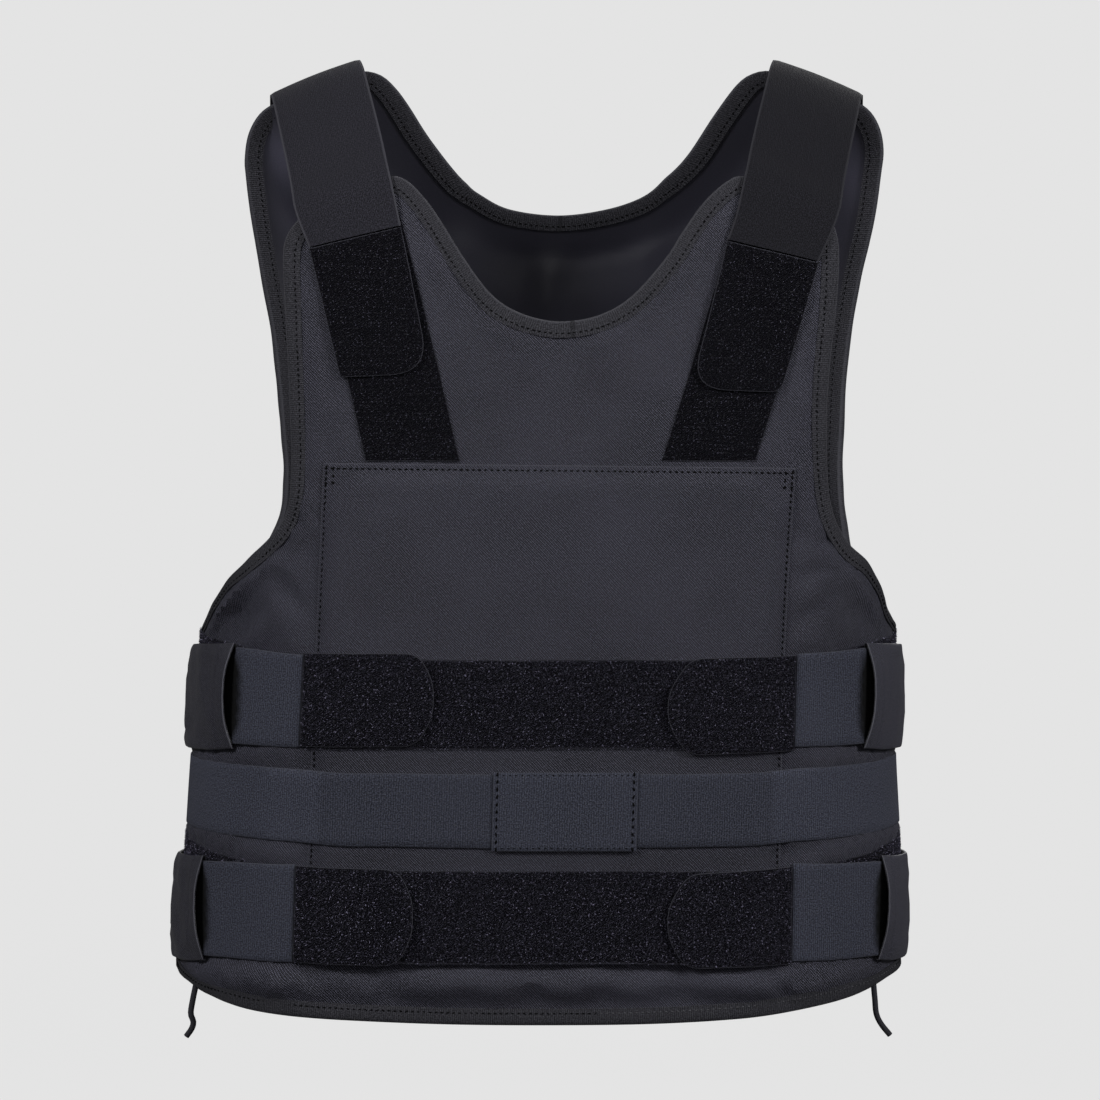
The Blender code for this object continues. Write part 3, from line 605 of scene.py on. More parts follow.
@dataclass
class SheetCut:
    """A flat-cut piece of cloth laid on the vest's face, with a rounded edge and a wall of its own.

    Attributes:
        name: The piece's name.
        outline: Closed outline, as distance across and height.
        lift: Height of its underside over the face.
        thickness: Thickness of its wall at each place.
        cell: Spacing of its inner points.
        edge: Width of the rounding along its edge.
        tone: How much paler than its finish the cloth is at each place; painted shade on some pieces, the
            cloth's own tint on others.
    """

    name: str
    outline: Array
    lift: Field
    thickness: Field
    cell: float = 5 * MM
    edge: float = 0.6 * MM
    tone: Field = even(0.0)

    def layer(self, plane: Array, share: float) -> Array:
        """Points at a share of the wall's thickness."""
        a, z = plane[:, 0], plane[:, 1]
        return FORM.point(a, z, self.lift(a, z) + FOLDS(a, z) + self.thickness(a, z) * share)

    def build(self, material: Material) -> Object:
        """Make the piece.

        Args:
            material: Its finish.

        Returns:
            The new object.
        """
        loop = counter_clockwise(self.outline)
        points, triangles = lattice_triangles(loop + inward(loop) * self.edge, self.cell)
        parts, width = MeshParts(), len(loop)
        distance = np.concatenate([np.full(width, self.edge), loop_distance(points[width:], loop)])
        tone = self.tone(points[:, 0], points[:, 1])
        top = parts.add_points(self.layer(points, 1.0), points, distance, tone)
        low = parts.add_points(self.layer(points, 0.0), points, distance)
        middle, foot = (parts.add_points(self.layer(loop, share), loop, np.zeros(width))
                        for share in (0.62, 0.18))
        parts.add_faces([tuple(top + i for i in t) for t in triangles])
        parts.add_faces([tuple(low + i for i in reversed(t)) for t in triangles])
        for first, second in ((middle, top), (foot, middle), (low, foot)):
            parts.bridge(first, second, width)
        return parts.make(self.name, (material,))


@dataclass(frozen=True)
class ClothSettling:
    """Cloth simulation that lets a loose cover puff and crease between its seams.

    Attributes:
        pressure: Push of the filling.
        slack: Share by which the cloth is cut larger than its place.
        frames: Frames that it runs.
        cap: Largest movement that is kept.
        quality: Steps in a frame.
    """

    pressure: float = 4.0
    slack: float = 0.05
    frames: int = 20
    cap: float = 3.0 * MM
    quality: int = 4

    def settle(self, points: Array, faces: Sequence[tuple[int, ...]], held: Array, loose: Array) -> Array:
        """Run the simulation on an open cover.

        Args:
            points: The cover's vertices.
            faces: Its triangles.
            held: Whether each vertex is sewn down or covered.
            loose: Share of the movement that is kept at each vertex.

        Returns:
            The vertices after it, none moved further than the cap.
        """
        mesh = bpy.data.meshes.new("cover")
        mesh.from_pydata(points.tolist(), [], [tuple(face) for face in faces])
        cover = in_scene("cover", mesh)
        group = cover.vertex_groups.new(name="held")
        group.add([int(k) for k in np.flatnonzero(held)], 1.0, "REPLACE")
        cloth = cover.modifiers.new("cloth", "CLOTH")
        settings = cloth.settings
        settings.quality = self.quality
        settings.mass = 0.3
        settings.tension_stiffness = settings.compression_stiffness = 12.0
        settings.shear_stiffness = 4.0
        settings.bending_stiffness = 0.35
        settings.tension_damping = settings.compression_damping = 12.0
        settings.air_damping = 3.0
        settings.vertex_group_mass = "held"
        settings.pin_stiffness = 10.0
        settings.shrink_min = -self.slack
        settings.use_pressure = True
        settings.uniform_pressure_force = self.pressure
        settings.effector_weights.gravity = 0.0
        cloth.collision_settings.use_collision = False
        cloth.point_cache.frame_start, cloth.point_cache.frame_end = 1, self.frames
        scene = bpy.context.scene
        for number in range(1, self.frames + 1):
            scene.frame_set(number)
        evaluated = cover.evaluated_get(bpy.context.evaluated_depsgraph_get())
        moved = np.zeros(len(points) * 3, np.float32)
        evaluated.data.vertices.foreach_get("co", moved)
        moved = moved.reshape(-1, 3).astype(float)
        bpy.data.objects.remove(cover, do_unlink=True)
        bpy.data.meshes.remove(mesh)
        scene.frame_set(1)
        step = moved - points
        size = np.linalg.norm(step, axis=1, keepdims=True)
        kept = self.cap * np.tanh(size / self.cap)
        LOG.info("cloth settled: mean %.2f mm, largest %.2f mm", size.mean() / MM, size.max() / MM)
        return points + step * kept / np.maximum(size, 1e-9) * np.where(held, 0.0, loose)[:, None]


class NodeTools:
    """Short ways to add nodes to a material's tree."""

    def __init__(self, tree: NodeTree) -> None:
        """Keep the tree."""
        self.tree = tree

    def add(self, kind: str, **values: object) -> Node:
        """Add a node and set its properties."""
        node = self.tree.nodes.new(kind)
        for key, value in values.items():
            setattr(node, key, value)
        return node

    def link(self, source: NodeSocket, target: NodeSocket) -> None:
        """Join two sockets."""
        self.tree.links.new(source, target)

    def wired(self, kind: str, inputs: dict[str | int, object], **values: object) -> Node:
        """Add a node with its inputs.

        Args:
            kind: The node's type.
            inputs: Socket or value for each input, by name or number.
            values: Its properties.

        Returns:
            The new node.
        """
        node = self.add(kind, **values)
        for key, value in inputs.items():
            if isinstance(value, NodeSocket):
                self.link(value, node.inputs[key])
            else:
                node.inputs[key].default_value = value
        return node

    def math(self, operation: str, *values: object) -> NodeSocket:
        """Add a Math node.

        Args:
            operation: The node's operation.
            values: Numbers or sockets for its inputs.

        Returns:
            Its output socket.
        """
        return self.wired("ShaderNodeMath", dict(enumerate(values)), operation=operation).outputs[0]

    def ramp(self, value: NodeSocket, low: float, high: float) -> NodeSocket:
        """Map a value to 0 at low and 1 at high, smoothly."""
        inputs = {"Value": value, "From Min": low, "From Max": high}
        return self.wired("ShaderNodeMapRange", inputs, interpolation_type="SMOOTHSTEP").outputs["Result"]

    def mix(self, share: object, first: object, second: object) -> NodeSocket:
        """Mix two colours.

        Args:
            share: Number or socket.
            first: Colour or socket at 0.
            second: Colour or socket at 1.

        Returns:
            The mixed colour.
        """
        node = self.add("ShaderNodeMix", data_type="RGBA")
        for key, value in (("Factor", share), ("A", first), ("B", second)):
            socket = next(s for s in node.inputs if s.name == key and s.enabled)
            if isinstance(value, NodeSocket):
                self.link(value, socket)
            elif isinstance(value, tuple):
                socket.default_value = (*value, 1.0)
            else:
                socket.default_value = value
        return next(s for s in node.outputs if s.enabled)

    def noise(self, vector: NodeSocket, scale: object, detail: float = 2.0
              ) -> NodeSocket:
        """Add a noise texture and give its value."""
        inputs = {"Vector": vector, "Scale": scale, "Detail": detail}
        return self.wired("ShaderNodeTexNoise", inputs).outputs["Fac"]


FLOAT, VECTOR, GEOMETRY = "NodeSocketFloat", "NodeSocketVector", "NodeSocketGeometry"


def group_of(name: str, inputs: Sequence[tuple[str, str, float]], outputs: Sequence[tuple[str, str]],
             kind: str = "ShaderNodeTree") -> tuple[NodeTools, Node, Node]:
    """Start a node group.

    Args:
        name: The group's name.
        inputs: Name, socket type and default of each input.
        outputs: Name and socket type of each output.
        kind: The tree's type.

    Returns:
        The new tree's tools and its input and output nodes.
    """
    tree = bpy.data.node_groups.new(name, kind)
    for label, socket_type, default in inputs:
        socket = tree.interface.new_socket(label, in_out="INPUT", socket_type=socket_type)
        if socket_type == FLOAT:
            socket.default_value = default
    for label, socket_type in outputs:
        tree.interface.new_socket(label, in_out="OUTPUT", socket_type=socket_type)
    return NodeTools(tree), tree.nodes.new("NodeGroupInput"), tree.nodes.new("NodeGroupOutput")


def planted(tools: NodeTools, carrier: Node, crook: NodeSocket,
            thing: NodeSocket, size: NodeSocket, finish: NodeSocket
            ) -> NodeSocket:
    """Set a thing on each point, make it real and give it its finish.

    Args:
        tools: The tree's tools.
        carrier: Node that gives the points and their rotation.
        crook: Euler angles that each thing is turned by.
        thing: What is set on the points.
        size: Its scale.
        finish: Its material.

    Returns:
        The finished geometry.
    """
    by = tools.wired("FunctionNodeEulerToRotation", {0: crook}).outputs[0]
    turn = tools.wired("FunctionNodeRotateRotation", {
        "Rotation": carrier.outputs["Rotation"], "Rotate By": by}, rotation_space="LOCAL").outputs[0]
    placed = tools.wired("GeometryNodeInstanceOnPoints", {
        "Points": carrier.outputs["Points"], "Instance": thing, "Rotation": turn, "Scale": size})
    real = tools.wired("GeometryNodeRealizeInstances", {0: placed.outputs[0]})
    painted = tools.wired("GeometryNodeSetMaterial", {"Geometry": real.outputs[0], "Material": finish})
    return painted.outputs[0]


def grown(name: str, ground: Mesh, tree: NodeTree, values: dict[str, object]
          ) -> Object:
    """Run a Geometry Nodes tree on a mesh and keep what it makes as a plain mesh.

    Args:
        name: The new object's name.
        ground: What the tree starts from, removed afterwards.
        tree: The tree.
        values: Its inputs by name.

    Returns:
        The new object.
    """
    carrier = in_scene(name, ground)
    modifier = carrier.modifiers.new("nodes", "NODES")
    modifier.node_group = tree
    sockets = {item.name: item.identifier for item in tree.interface.items_tree if item.in_out == "INPUT"}
    for key, value in values.items():
        modifier[sockets[key]] = value
    evaluated = carrier.evaluated_get(bpy.context.evaluated_depsgraph_get())
    plain = bpy.data.meshes.new_from_object(evaluated)
    plain.name = name
    carrier.modifiers.clear()
    carrier.data = plain
    bpy.data.meshes.remove(ground)
    return carrier


class SharedPatterns:
    """The shader node groups that several finishes use."""

    def __init__(self) -> None:
        """Build every group once."""
        self.diagonal = self._diagonal()
        self.ribs = self._ribs()
        self.lint = self._lint()
        self.rim = self._rim()

    @staticmethod
    def _diagonal() -> NodeTree:
        """Twill: slanted cords crossed by fine weft breaks."""
        tools, start, end = group_of(
            "twill_weave", [("Place", VECTOR, 0), ("Pitch", FLOAT, 0.0013), ("Slant", FLOAT, 1.0)],
            [("Height", FLOAT), ("Mask", FLOAT)])
        split = tools.wired("ShaderNodeSeparateXYZ", {0: start.outputs["Place"]})
        wander = tools.noise(start.outputs["Place"], 60.0)
        drift = tools.math("MULTIPLY", tools.math("SUBTRACT", wander, 0.5), 0.0022)
        rise = tools.math("MULTIPLY", split.outputs["Y"], start.outputs["Slant"])
        place = tools.math("ADD", tools.math("ADD", split.outputs["X"], rise), drift)
        turn = tools.math("DIVIDE", place, start.outputs["Pitch"])
        cord = tools.math("SINE", tools.math("MULTIPLY", turn, 2 * math.pi))
        across = tools.math("SUBTRACT", split.outputs["X"], rise)
        cross = tools.math("DIVIDE", across, start.outputs["Pitch"])
        weft = tools.math("SINE", tools.math("MULTIPLY", cross, 2.6 * math.pi))
        height = tools.math("ADD", tools.math("MULTIPLY", cord, 0.38), tools.math("MULTIPLY", weft, 0.42))
        tools.link(height, end.inputs["Height"])
        flecks = tools.math("SUBTRACT", tools.noise(start.outputs["Place"], 900.0, 1.0), 0.5)
        flecked = tools.math("MULTIPLY_ADD", flecks, 1.1, height)
        tools.link(tools.ramp(flecked, -0.1, 0.55), end.inputs["Mask"])
        return tools.tree

    @staticmethod
    def _ribs() -> NodeTree:
        """Straight ribs across a tape or elastic, with a finer thread between them."""
        tools, start, end = group_of(
            "tape_ribs", [("Place", VECTOR, 0), ("Pitch", FLOAT, 0.0012), ("Turn", FLOAT, 0.0),
                          ("Heather", FLOAT, 0.4)],
            [("Height", FLOAT), ("Mask", FLOAT)])
        rotate = tools.wired("ShaderNodeVectorRotate", {
            "Vector": start.outputs["Place"], "Angle": start.outputs["Turn"]}, rotation_type="Z_AXIS")
        split = tools.wired("ShaderNodeSeparateXYZ", {0: rotate.outputs[0]})
        wander = tools.noise(start.outputs["Place"], 90.0)
        drift = tools.math("MULTIPLY", tools.math("SUBTRACT", wander, 0.5), 0.0012)
        place = tools.math("ADD", split.outputs["X"], drift)
        turn = tools.math("MULTIPLY", tools.math("DIVIDE", place, start.outputs["Pitch"]), 2 * math.pi)
        rib = tools.math("SINE", turn)
        along = tools.math("DIVIDE", split.outputs["Y"], start.outputs["Pitch"])
        thread = tools.math("SINE", tools.math("MULTIPLY", along, 3.4 * math.pi))
        height = tools.math("ADD", tools.math("MULTIPLY", rib, 0.5), tools.math("MULTIPLY", thread, 0.22))
        tools.link(height, end.inputs["Height"])
        fleck = tools.noise(start.outputs["Place"], 1250.0, 1.0)
        flecks = tools.math("MULTIPLY", tools.math("SUBTRACT", fleck, 0.5), 3.4)
        calm = tools.math("SUBTRACT", 1.0, start.outputs["Heather"])
        blend = tools.math("ADD", tools.math("MULTIPLY", height, calm),
                           tools.math("MULTIPLY", flecks, start.outputs["Heather"]))
        tools.link(tools.ramp(blend, -0.45, 0.6), end.inputs["Mask"])
        return tools.tree

    @staticmethod
    def _lint() -> NodeTree:
        """Broad shade changes and small pale specks."""
        tools, start, end = group_of(
            "cloth_lint", [("Place", VECTOR, 0), ("Speck", FLOAT, 900.0)],
            [("Shade", FLOAT), ("Specks", FLOAT)])
        broad = tools.noise(start.outputs["Place"], 14.0, 3.0)
        tools.link(tools.ramp(broad, 0.3, 0.7), end.inputs["Shade"])
        speck = tools.noise(start.outputs["Place"], start.outputs["Speck"], 1.0)
        tools.link(tools.ramp(speck, 0.56, 0.72), end.inputs["Specks"])
        return tools.tree

    @staticmethod
    def _rim() -> NodeTree:
        """Pale line along a piece's edge, from how near the edge is."""
        tools, start, end = group_of("edge_line", [("Nearness", FLOAT, 0.0), ("Width", FLOAT, 0.0012)],
                                           [("Line", FLOAT)])
        width = tools.math("DIVIDE", start.outputs["Width"], MM)
        low = tools.math("DIVIDE", 1.0, tools.math("ADD", 1.0, width))
        high = tools.math("DIVIDE", 1.0, tools.math("MULTIPLY_ADD", width, 0.3, 1.0))
        share = tools.math("DIVIDE", tools.math("SUBTRACT", start.outputs["Nearness"], low),
                           tools.math("SUBTRACT", high, low))
        tools.link(tools.ramp(share, 0.0, 1.0), end.inputs["Line"])
        return tools.tree


@dataclass(frozen=True)
class Finish:
    """A cloth finish: its colours, gloss and weave.

    Attributes:
        name: The material's name.
        deep: Colour between the threads.
        face: Colour on top of the threads.
        speck: Colour of lint.
        roughness: Roughness.
        sheen: Weight of the soft edge gloss.
        weave: Which shared pattern it has.
        pitch: Spacing of the weave.
        turn: Turn of the ribs, or slant of the twill.
        relief: Depth of the weave.
        rim: Colour of the line along the edge.
        rim_width: Width of that line.
        specks: Strength of the lint.
        gloss: Specular level.
        heather: Share of random flecks in the ribs' colour.
        crumple: Depth of the small creases.
    """

    SHADE: ClassVar[float] = 0.72
    SHADE_SHARE: ClassVar[float] = 0.2
    CRUMPLE_SCALE: ClassVar[float] = 52.0

    name: str
    deep: tuple[float, float, float]
    face: tuple[float, float, float]
    speck: tuple[float, float, float] = (0.10, 0.10, 0.11)
    roughness: float = 0.85
    sheen: float = 0.0
    weave: str = "ribs"
    pitch: float = 1.3 * MM
    turn: float = 1.0
    relief: float = 0.12 * MM
    rim: tuple[float, float, float] | None = None
    rim_width: float = 1.2 * MM
    specks: float = 0.15
    gloss: float = 0.2
    heather: float = 0.4
    crumple: float = 0.0

    def make(self, shared: SharedPatterns) -> Material:
        """Build the material.

        Args:
            shared: The shared patterns.

        Returns:
            The new material.
        """
        material = bpy.data.materials.new(self.name)
        material.use_nodes = True
        material.diffuse_color = (*self.face, 1.0)
        tools = NodeTools(material.node_tree)
        shader = material.node_tree.nodes["Principled BSDF"]
        place = tools.add("ShaderNodeUVMap", uv_map="cloth").outputs[0]
        woven = {"Place": place, "Pitch": self.pitch}
        if self.weave == "ribs":
            woven |= {"Turn": self.turn, "Heather": self.heather}
            weave = tools.wired("ShaderNodeGroup", woven, node_tree=shared.ribs)
        else:
            weave = tools.wired("ShaderNodeGroup", woven | {"Slant": self.turn}, node_tree=shared.diagonal)
        lint = tools.wired("ShaderNodeGroup", {"Place": place}, node_tree=shared.lint)
        colour = tools.mix(weave.outputs["Mask"], self.deep, self.face)
        dark = tuple(c * self.SHADE for c in self.face)
        colour = tools.mix(tools.math("MULTIPLY", lint.outputs["Shade"], self.SHADE_SHARE), colour, dark)
        colour = tools.mix(tools.math("MULTIPLY", lint.outputs["Specks"], self.specks), colour, self.speck)
        if self.rim:
            nearness = tools.add("ShaderNodeAttribute", attribute_name="edge").outputs["Fac"]
            line = tools.wired("ShaderNodeGroup", {"Nearness": nearness, "Width": self.rim_width},
                               node_tree=shared.rim)
            colour = tools.mix(line.outputs["Line"], colour, self.rim)
        # The tone attribute scales the colour: painted light and shade on most pieces, the cloth's own tint
        # on a few.
        tone = tools.add("ShaderNodeAttribute", attribute_name="tone").outputs["Fac"]
        toned = tools.wired("ShaderNodeVectorMath", {0: colour, "Scale": tools.math("ADD", tone, 1.0)},
                            operation="SCALE")
        relief = {"Distance": self.relief, "Strength": 1.0, "Height": weave.outputs["Height"]}
        if self.crumple:
            creases = tools.noise(place, self.CRUMPLE_SCALE)
            creased = tools.wired("ShaderNodeBump", {"Distance": self.crumple, "Height": creases})
            relief["Normal"] = creased.outputs[0]
        for key, value in (("Roughness", self.roughness), ("Sheen Weight", self.sheen),
                           ("Sheen Roughness", 0.5), ("Specular IOR Level", self.gloss)):
            shader.inputs[key].default_value = value
        tools.link(toned.outputs[0], shader.inputs["Base Color"])
        tools.link(tools.wired("ShaderNodeBump", relief).outputs[0], shader.inputs["Normal"])
        return material


@dataclass
class Wardrobe:
    """Every finish of the vest, made once."""

    shared: SharedPatterns = field(default_factory=SharedPatterns)
    made: dict[str, Material] = field(default_factory=dict)

    FINISHES: ClassVar[tuple[Finish, ...]] = (
        Finish("twill_cloth", (0.0012, 0.0012, 0.0030), (0.100, 0.099, 0.141), weave="twill",
               roughness=0.58, sheen=0.02, pitch=1.65 * MM, turn=1.0, relief=0.22 * MM,
               rim=(0.060, 0.060, 0.078), rim_width=0.8 * MM, gloss=0.28),
        Finish("satin_lining", (0.022, 0.0215, 0.031), (0.033, 0.032, 0.046), roughness=0.38,
               pitch=0.6 * MM, relief=0.02 * MM, specks=0.0, gloss=0.45),
        Finish("edge_tape", (0.012, 0.012, 0.015), (0.064, 0.063, 0.076), sheen=0.02, pitch=1.2 * MM,
               turn=0.0, relief=0.16 * MM, specks=0.3, rim=(0.066, 0.066, 0.078), rim_width=0.7 * MM,
               heather=0.6),
        Finish("pile_ground", (0.0020, 0.0019, 0.0030), (0.0090, 0.0086, 0.0130), roughness=0.95,
               pitch=1.2 * MM, relief=0.3 * MM, specks=0.3, rim=(0.050, 0.050, 0.062), rim_width=0.6 * MM,
               gloss=0.1),
        Finish("pile_fibre", (0.003, 0.003, 0.005), (0.016, 0.0155, 0.024), roughness=0.6, pitch=0.9 * MM,
               relief=0.0, specks=1.0, speck=(0.22, 0.215, 0.30), gloss=0.2),
        Finish("pale_pile_fibre", (0.012, 0.0116, 0.018), (0.078, 0.074, 0.112), roughness=0.6,
               pitch=0.9 * MM, relief=0.0, specks=1.0, speck=(0.42, 0.40, 0.57), gloss=0.2),
        Finish("elastic_tape", (0.013, 0.0141, 0.021), (0.074, 0.079, 0.112), sheen=0.02, pitch=1.35 * MM,
               turn=0.0, relief=0.12 * MM, rim=(0.052, 0.054, 0.070), rim_width=0.6 * MM, specks=0.35,
               heather=0.7),
        Finish("strap_tape", (0.011, 0.0106, 0.015), (0.046, 0.0445, 0.062), sheen=0.02, pitch=0.95 * MM,
               turn=0.0, relief=0.08 * MM, rim=(0.075, 0.074, 0.090), rim_width=0.6 * MM, specks=0.2,
               heather=0.75),
        Finish("shiny_sleeve_cloth", (0.004, 0.004, 0.007), (0.054, 0.053, 0.075), roughness=0.34,
               pitch=1.0 * MM, relief=0.14 * MM, rim=(0.12, 0.12, 0.145), rim_width=0.7 * MM, specks=0.3,
               gloss=0.5, heather=0.75, crumple=1.6 * MM),
        Finish("matt_sleeve_cloth", (0.010, 0.010, 0.014), (0.085, 0.084, 0.116), roughness=0.48,
               pitch=1.0 * MM, relief=0.14 * MM, rim=(0.13, 0.13, 0.155), rim_width=0.7 * MM, specks=0.3,
               gloss=0.35, heather=0.75, crumple=0.6 * MM),
        Finish("thread", (0.0010, 0.0010, 0.0014), (0.0024, 0.0024, 0.0032), roughness=0.7,
               pitch=0.4 * MM, relief=0.0, specks=0.0, gloss=0.1),
        Finish("pale_thread", (0.05, 0.05, 0.056), (0.13, 0.13, 0.145), roughness=0.7, pitch=0.4 * MM,
               relief=0.0, specks=0.0, gloss=0.1),
    )

    def __post_init__(self) -> None:
        """Make each finish."""
        for finish in self.FINISHES:
            self.made[finish.name] = finish.make(self.shared)

    def __getitem__(self, name: str) -> Material:
        """The material of that name."""
        return self.made[name]


def settle(piece: Object, slot: Cloth, *nodes: str) -> Object:
    """Let a finished piece ride on the vest.

    Args:
        piece: The piece.
        slot: The record's material slot; not used.
        nodes: The CAD nodes that it stands for.

    Returns:
        The same piece.
    """
    if nodes:
        piece.name = nodes[0] + "_cloth"
        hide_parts(*nodes)
    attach(piece, BODY)
    LOG.info("%s: %d faces", piece.name, len(piece.data.polygons) if piece.type == "MESH" else 0)
    return piece


def edge_loop(rows: Rows, behind: bool, step: float) -> Array:
    """Finished edge of a panel in the plane.

    Args:
        rows: x, height and, where the edge is out of sight, distance past the silhouette in millimetres.
        behind: Whether the panel is the back one.
        step: Spacing of the points.

    Returns:
        Distance across and height of each point, counter-clockwise.
    """
    points = [(FORM.across_at(x * MM, z * MM, sum(past) * MM, behind), z * MM) for x, z, *past in rows]
    return counter_clockwise(smooth_curve(np.array(points), step, closed=True))


@dataclass
class PaddedPanel:
    """A padded panel and the tape that binds its edge."""

    name: str
    rows: Rows
    behind: bool
    thinning: tuple[float, float]
    tape: float = 9.6 * MM
    edge_depth: float = 4.0 * MM
    full_depth: float = 9.0 * MM
    rim: float = 12 * MM
    ramp: float = 45 * MM
    covers: Sequence[Array] = ()
    loop: Array = field(init=False)

    # Painted highlights on the lining at the armholes' tops: x, height and strength.
    SHINE_MM: ClassVar[Rows] = (
        (-172, -50, 1.5), (-166, -92, 0.5), (176, -62, 0.7))
    PROFILE_MM: ClassVar[Rows] = (
        (9.6, 0.12), (9.6, 0.75), (5.28, 1.05), (2.0, 0.95), (0.7, 0.25), (0.15, -1.0), (0.0, -2.0),
        (0.15, -3.0), (0.7, -4.25), (2.0, -4.95), (5.28, -5.3), (9.6, -5.3), (9.6, -4.7), (2.6, -4.2),
        (1.6, -2.0), (2.6, 0.1))

    def __post_init__(self) -> None:
        """Work out the finished edge."""
        self.loop = edge_loop(self.rows, self.behind, 3.0 * MM)

    @property
    def place(self) -> Callable[..., Array]:
        """Where the panel's points lie."""
        return FORM.behind if self.behind else FORM.point

    def narrowing(self) -> Array:
        """Share by which the tape is narrower at each point of the edge on the front's wings, and by which
        it is painted darker there as shade.
        """
        if self.behind:
            return np.zeros(len(self.loop))
        return 0.34 * ease(np.abs(self.loop[:, 0]), 175 * MM, 215 * MM)

    def depth(self, across: Array, z: Array) -> Array:
        """Thickness of the padding at each place.

        Args:
            across: Distances across.
            z: Heights.

        Returns:
            Thickness at each place.
        """
        first, last = self.thinning
        wing = np.clip((last - np.abs(across)) / (last - first), 0, 1)
        away = loop_distance(np.stack([across, z], axis=1), self.loop[::3])
        padding = (self.full_depth - self.edge_depth) * wing
        return self.edge_depth + padding * ease(away, self.rim, self.rim + self.ramp)

    def folds(self, across: Array, z: Array) -> Array:
        """Soft shape of the panel's outer face."""
        if not self.behind:
            return FOLDS(across, z)
        return WaveNoise(11, 170 * MM)(across, z) * 0.9 * MM

    def covered(self, points: Array) -> Array:
        """Whether each place of the panel lies under another piece.

        Args:
            points: Distance across and height of each place.

        Returns:
            One truth value for each place.
        """
        hidden = np.zeros(len(points), bool)
        for outline in self.covers:
            hidden |= inside(points, outline)
        return hidden

    def puckers(self, across: Array, z: Array, away: Array) -> Array:
        """Low roll of the cloth beside the binding, gathered a little by the seam."""
        gather = 0.55 + 0.9 * WaveNoise(41 + self.behind, 34 * MM)(across, z)
        return 0.6 * MM * gather * bump(away, 13 * MM, 9 * MM)

    def lining_folds(self, across: Array, z: Array, away: Array) -> Array:
        """Soft folds of the lining, which hangs a little loose.

        Args:
            across: Distances across.
            z: Heights.
            away: Distances from the panel's edge.

        Returns:
            Lift of the lining off its plain shape.
        """
        fall = ease(away, 9 * MM, 34 * MM)
        if not self.behind:
            return WaveNoise(23, 90 * MM)(across, z) * 0.8 * MM * fall
        sway = across + 9 * MM * np.sin(z * 19) + 5 * MM * np.sin(z * 47 + 1)
        drape = np.sin(sway * 2 * math.pi / (52 * MM)) + 0.5 * np.sin(sway * 2 * math.pi / (29 * MM) + 1.3)
        rolls = bump(away, 21 * MM, 10 * MM) * (0.7 + 0.5 * np.sin(across / (37 * MM)))
        inner = FORM.across_at(-163 * MM, -60 * MM, 0.0, True)
        corner = bump(across - inner + 0.16 * (z + 60 * MM), 0.0, 12 * MM) * bump(z, -52 * MM, 48 * MM)
        return (drape * 1.0 * MM + rolls * 1.8 * MM) * fall - 5.5 * MM * corner

    def lining_shine(self, across: Array, z: Array) -> Array:
        """Painted highlight: how much paler the lining is painted at the armholes' tops.

        Args:
            across: Distances across.
            z: Heights.

        Returns:
            The tone at each place.
        """
        total = np.zeros(np.shape(z))
        for x, height, strength in self.SHINE_MM if self.behind else ():
            inner = FORM.across_at(x * MM, height * MM, 0.0, True)
            away = across - inner + 0.22 * (z - height * MM)
            total = total + strength * bump(away, 0.0, 13 * MM) * bump(z, height * MM, 30 * MM)
        return total

    def build(self, wardrobe: Wardrobe) -> Object:
        """Make the panel.

        Args:
            wardrobe: The finishes.

        Returns:
            The panel.
        """
        loop = self.loop + inward(self.loop) * 1.9 * MM
        points, triangles = lattice_triangles(loop, 4.2 * MM)
        a, z = points[:, 0], points[:, 1]
        folds, depth = self.folds(a, z), self.depth(a, z)
        width = len(loop)
        distance = np.concatenate([np.zeros(width), loop_distance(points[width:], loop)])
        parts = MeshParts()
        cover = self.place(a, z, folds + self.puckers(a, z, distance))
        held = (distance < 8.5 * MM) | self.covered(points)
        loose = 0.3 + 0.7 * ease(np.abs(a), 110 * MM, 150 * MM) * ease(-z, 0.24, 0.28)
        loose = np.maximum(loose, 0.5 * ease(-z, 0.505, 0.52))
        faces = [t[::-1] if self.behind else t for t in triangles]
        cover = ClothSettling().settle(cover, faces, held, loose)
        outer = parts.add_points(cover, points, distance + 20 * MM)
        lining = self.place(a, z, folds - depth + self.lining_folds(a, z, distance))
        # The lining carries painted highlights at the armholes' tops.
        inner = parts.add_points(lining, points, distance + 20 * MM, self.lining_shine(a, z))
        step = -1 if self.behind else 1
        parts.add_faces([tuple(outer + i for i in t)[::step] for t in triangles])
        parts.add_faces([tuple(inner + i for i in t)[::-step] for t in triangles], 1)
        parts.bridge(inner, outer, width, self.behind)
        piece = parts.make(self.name + "_panel", (wardrobe["twill_cloth"], wardrobe["satin_lining"]))
        settle(piece, Cloth.LINING if self.behind else Cloth.TWILL, self.name + "_panel")
        return piece

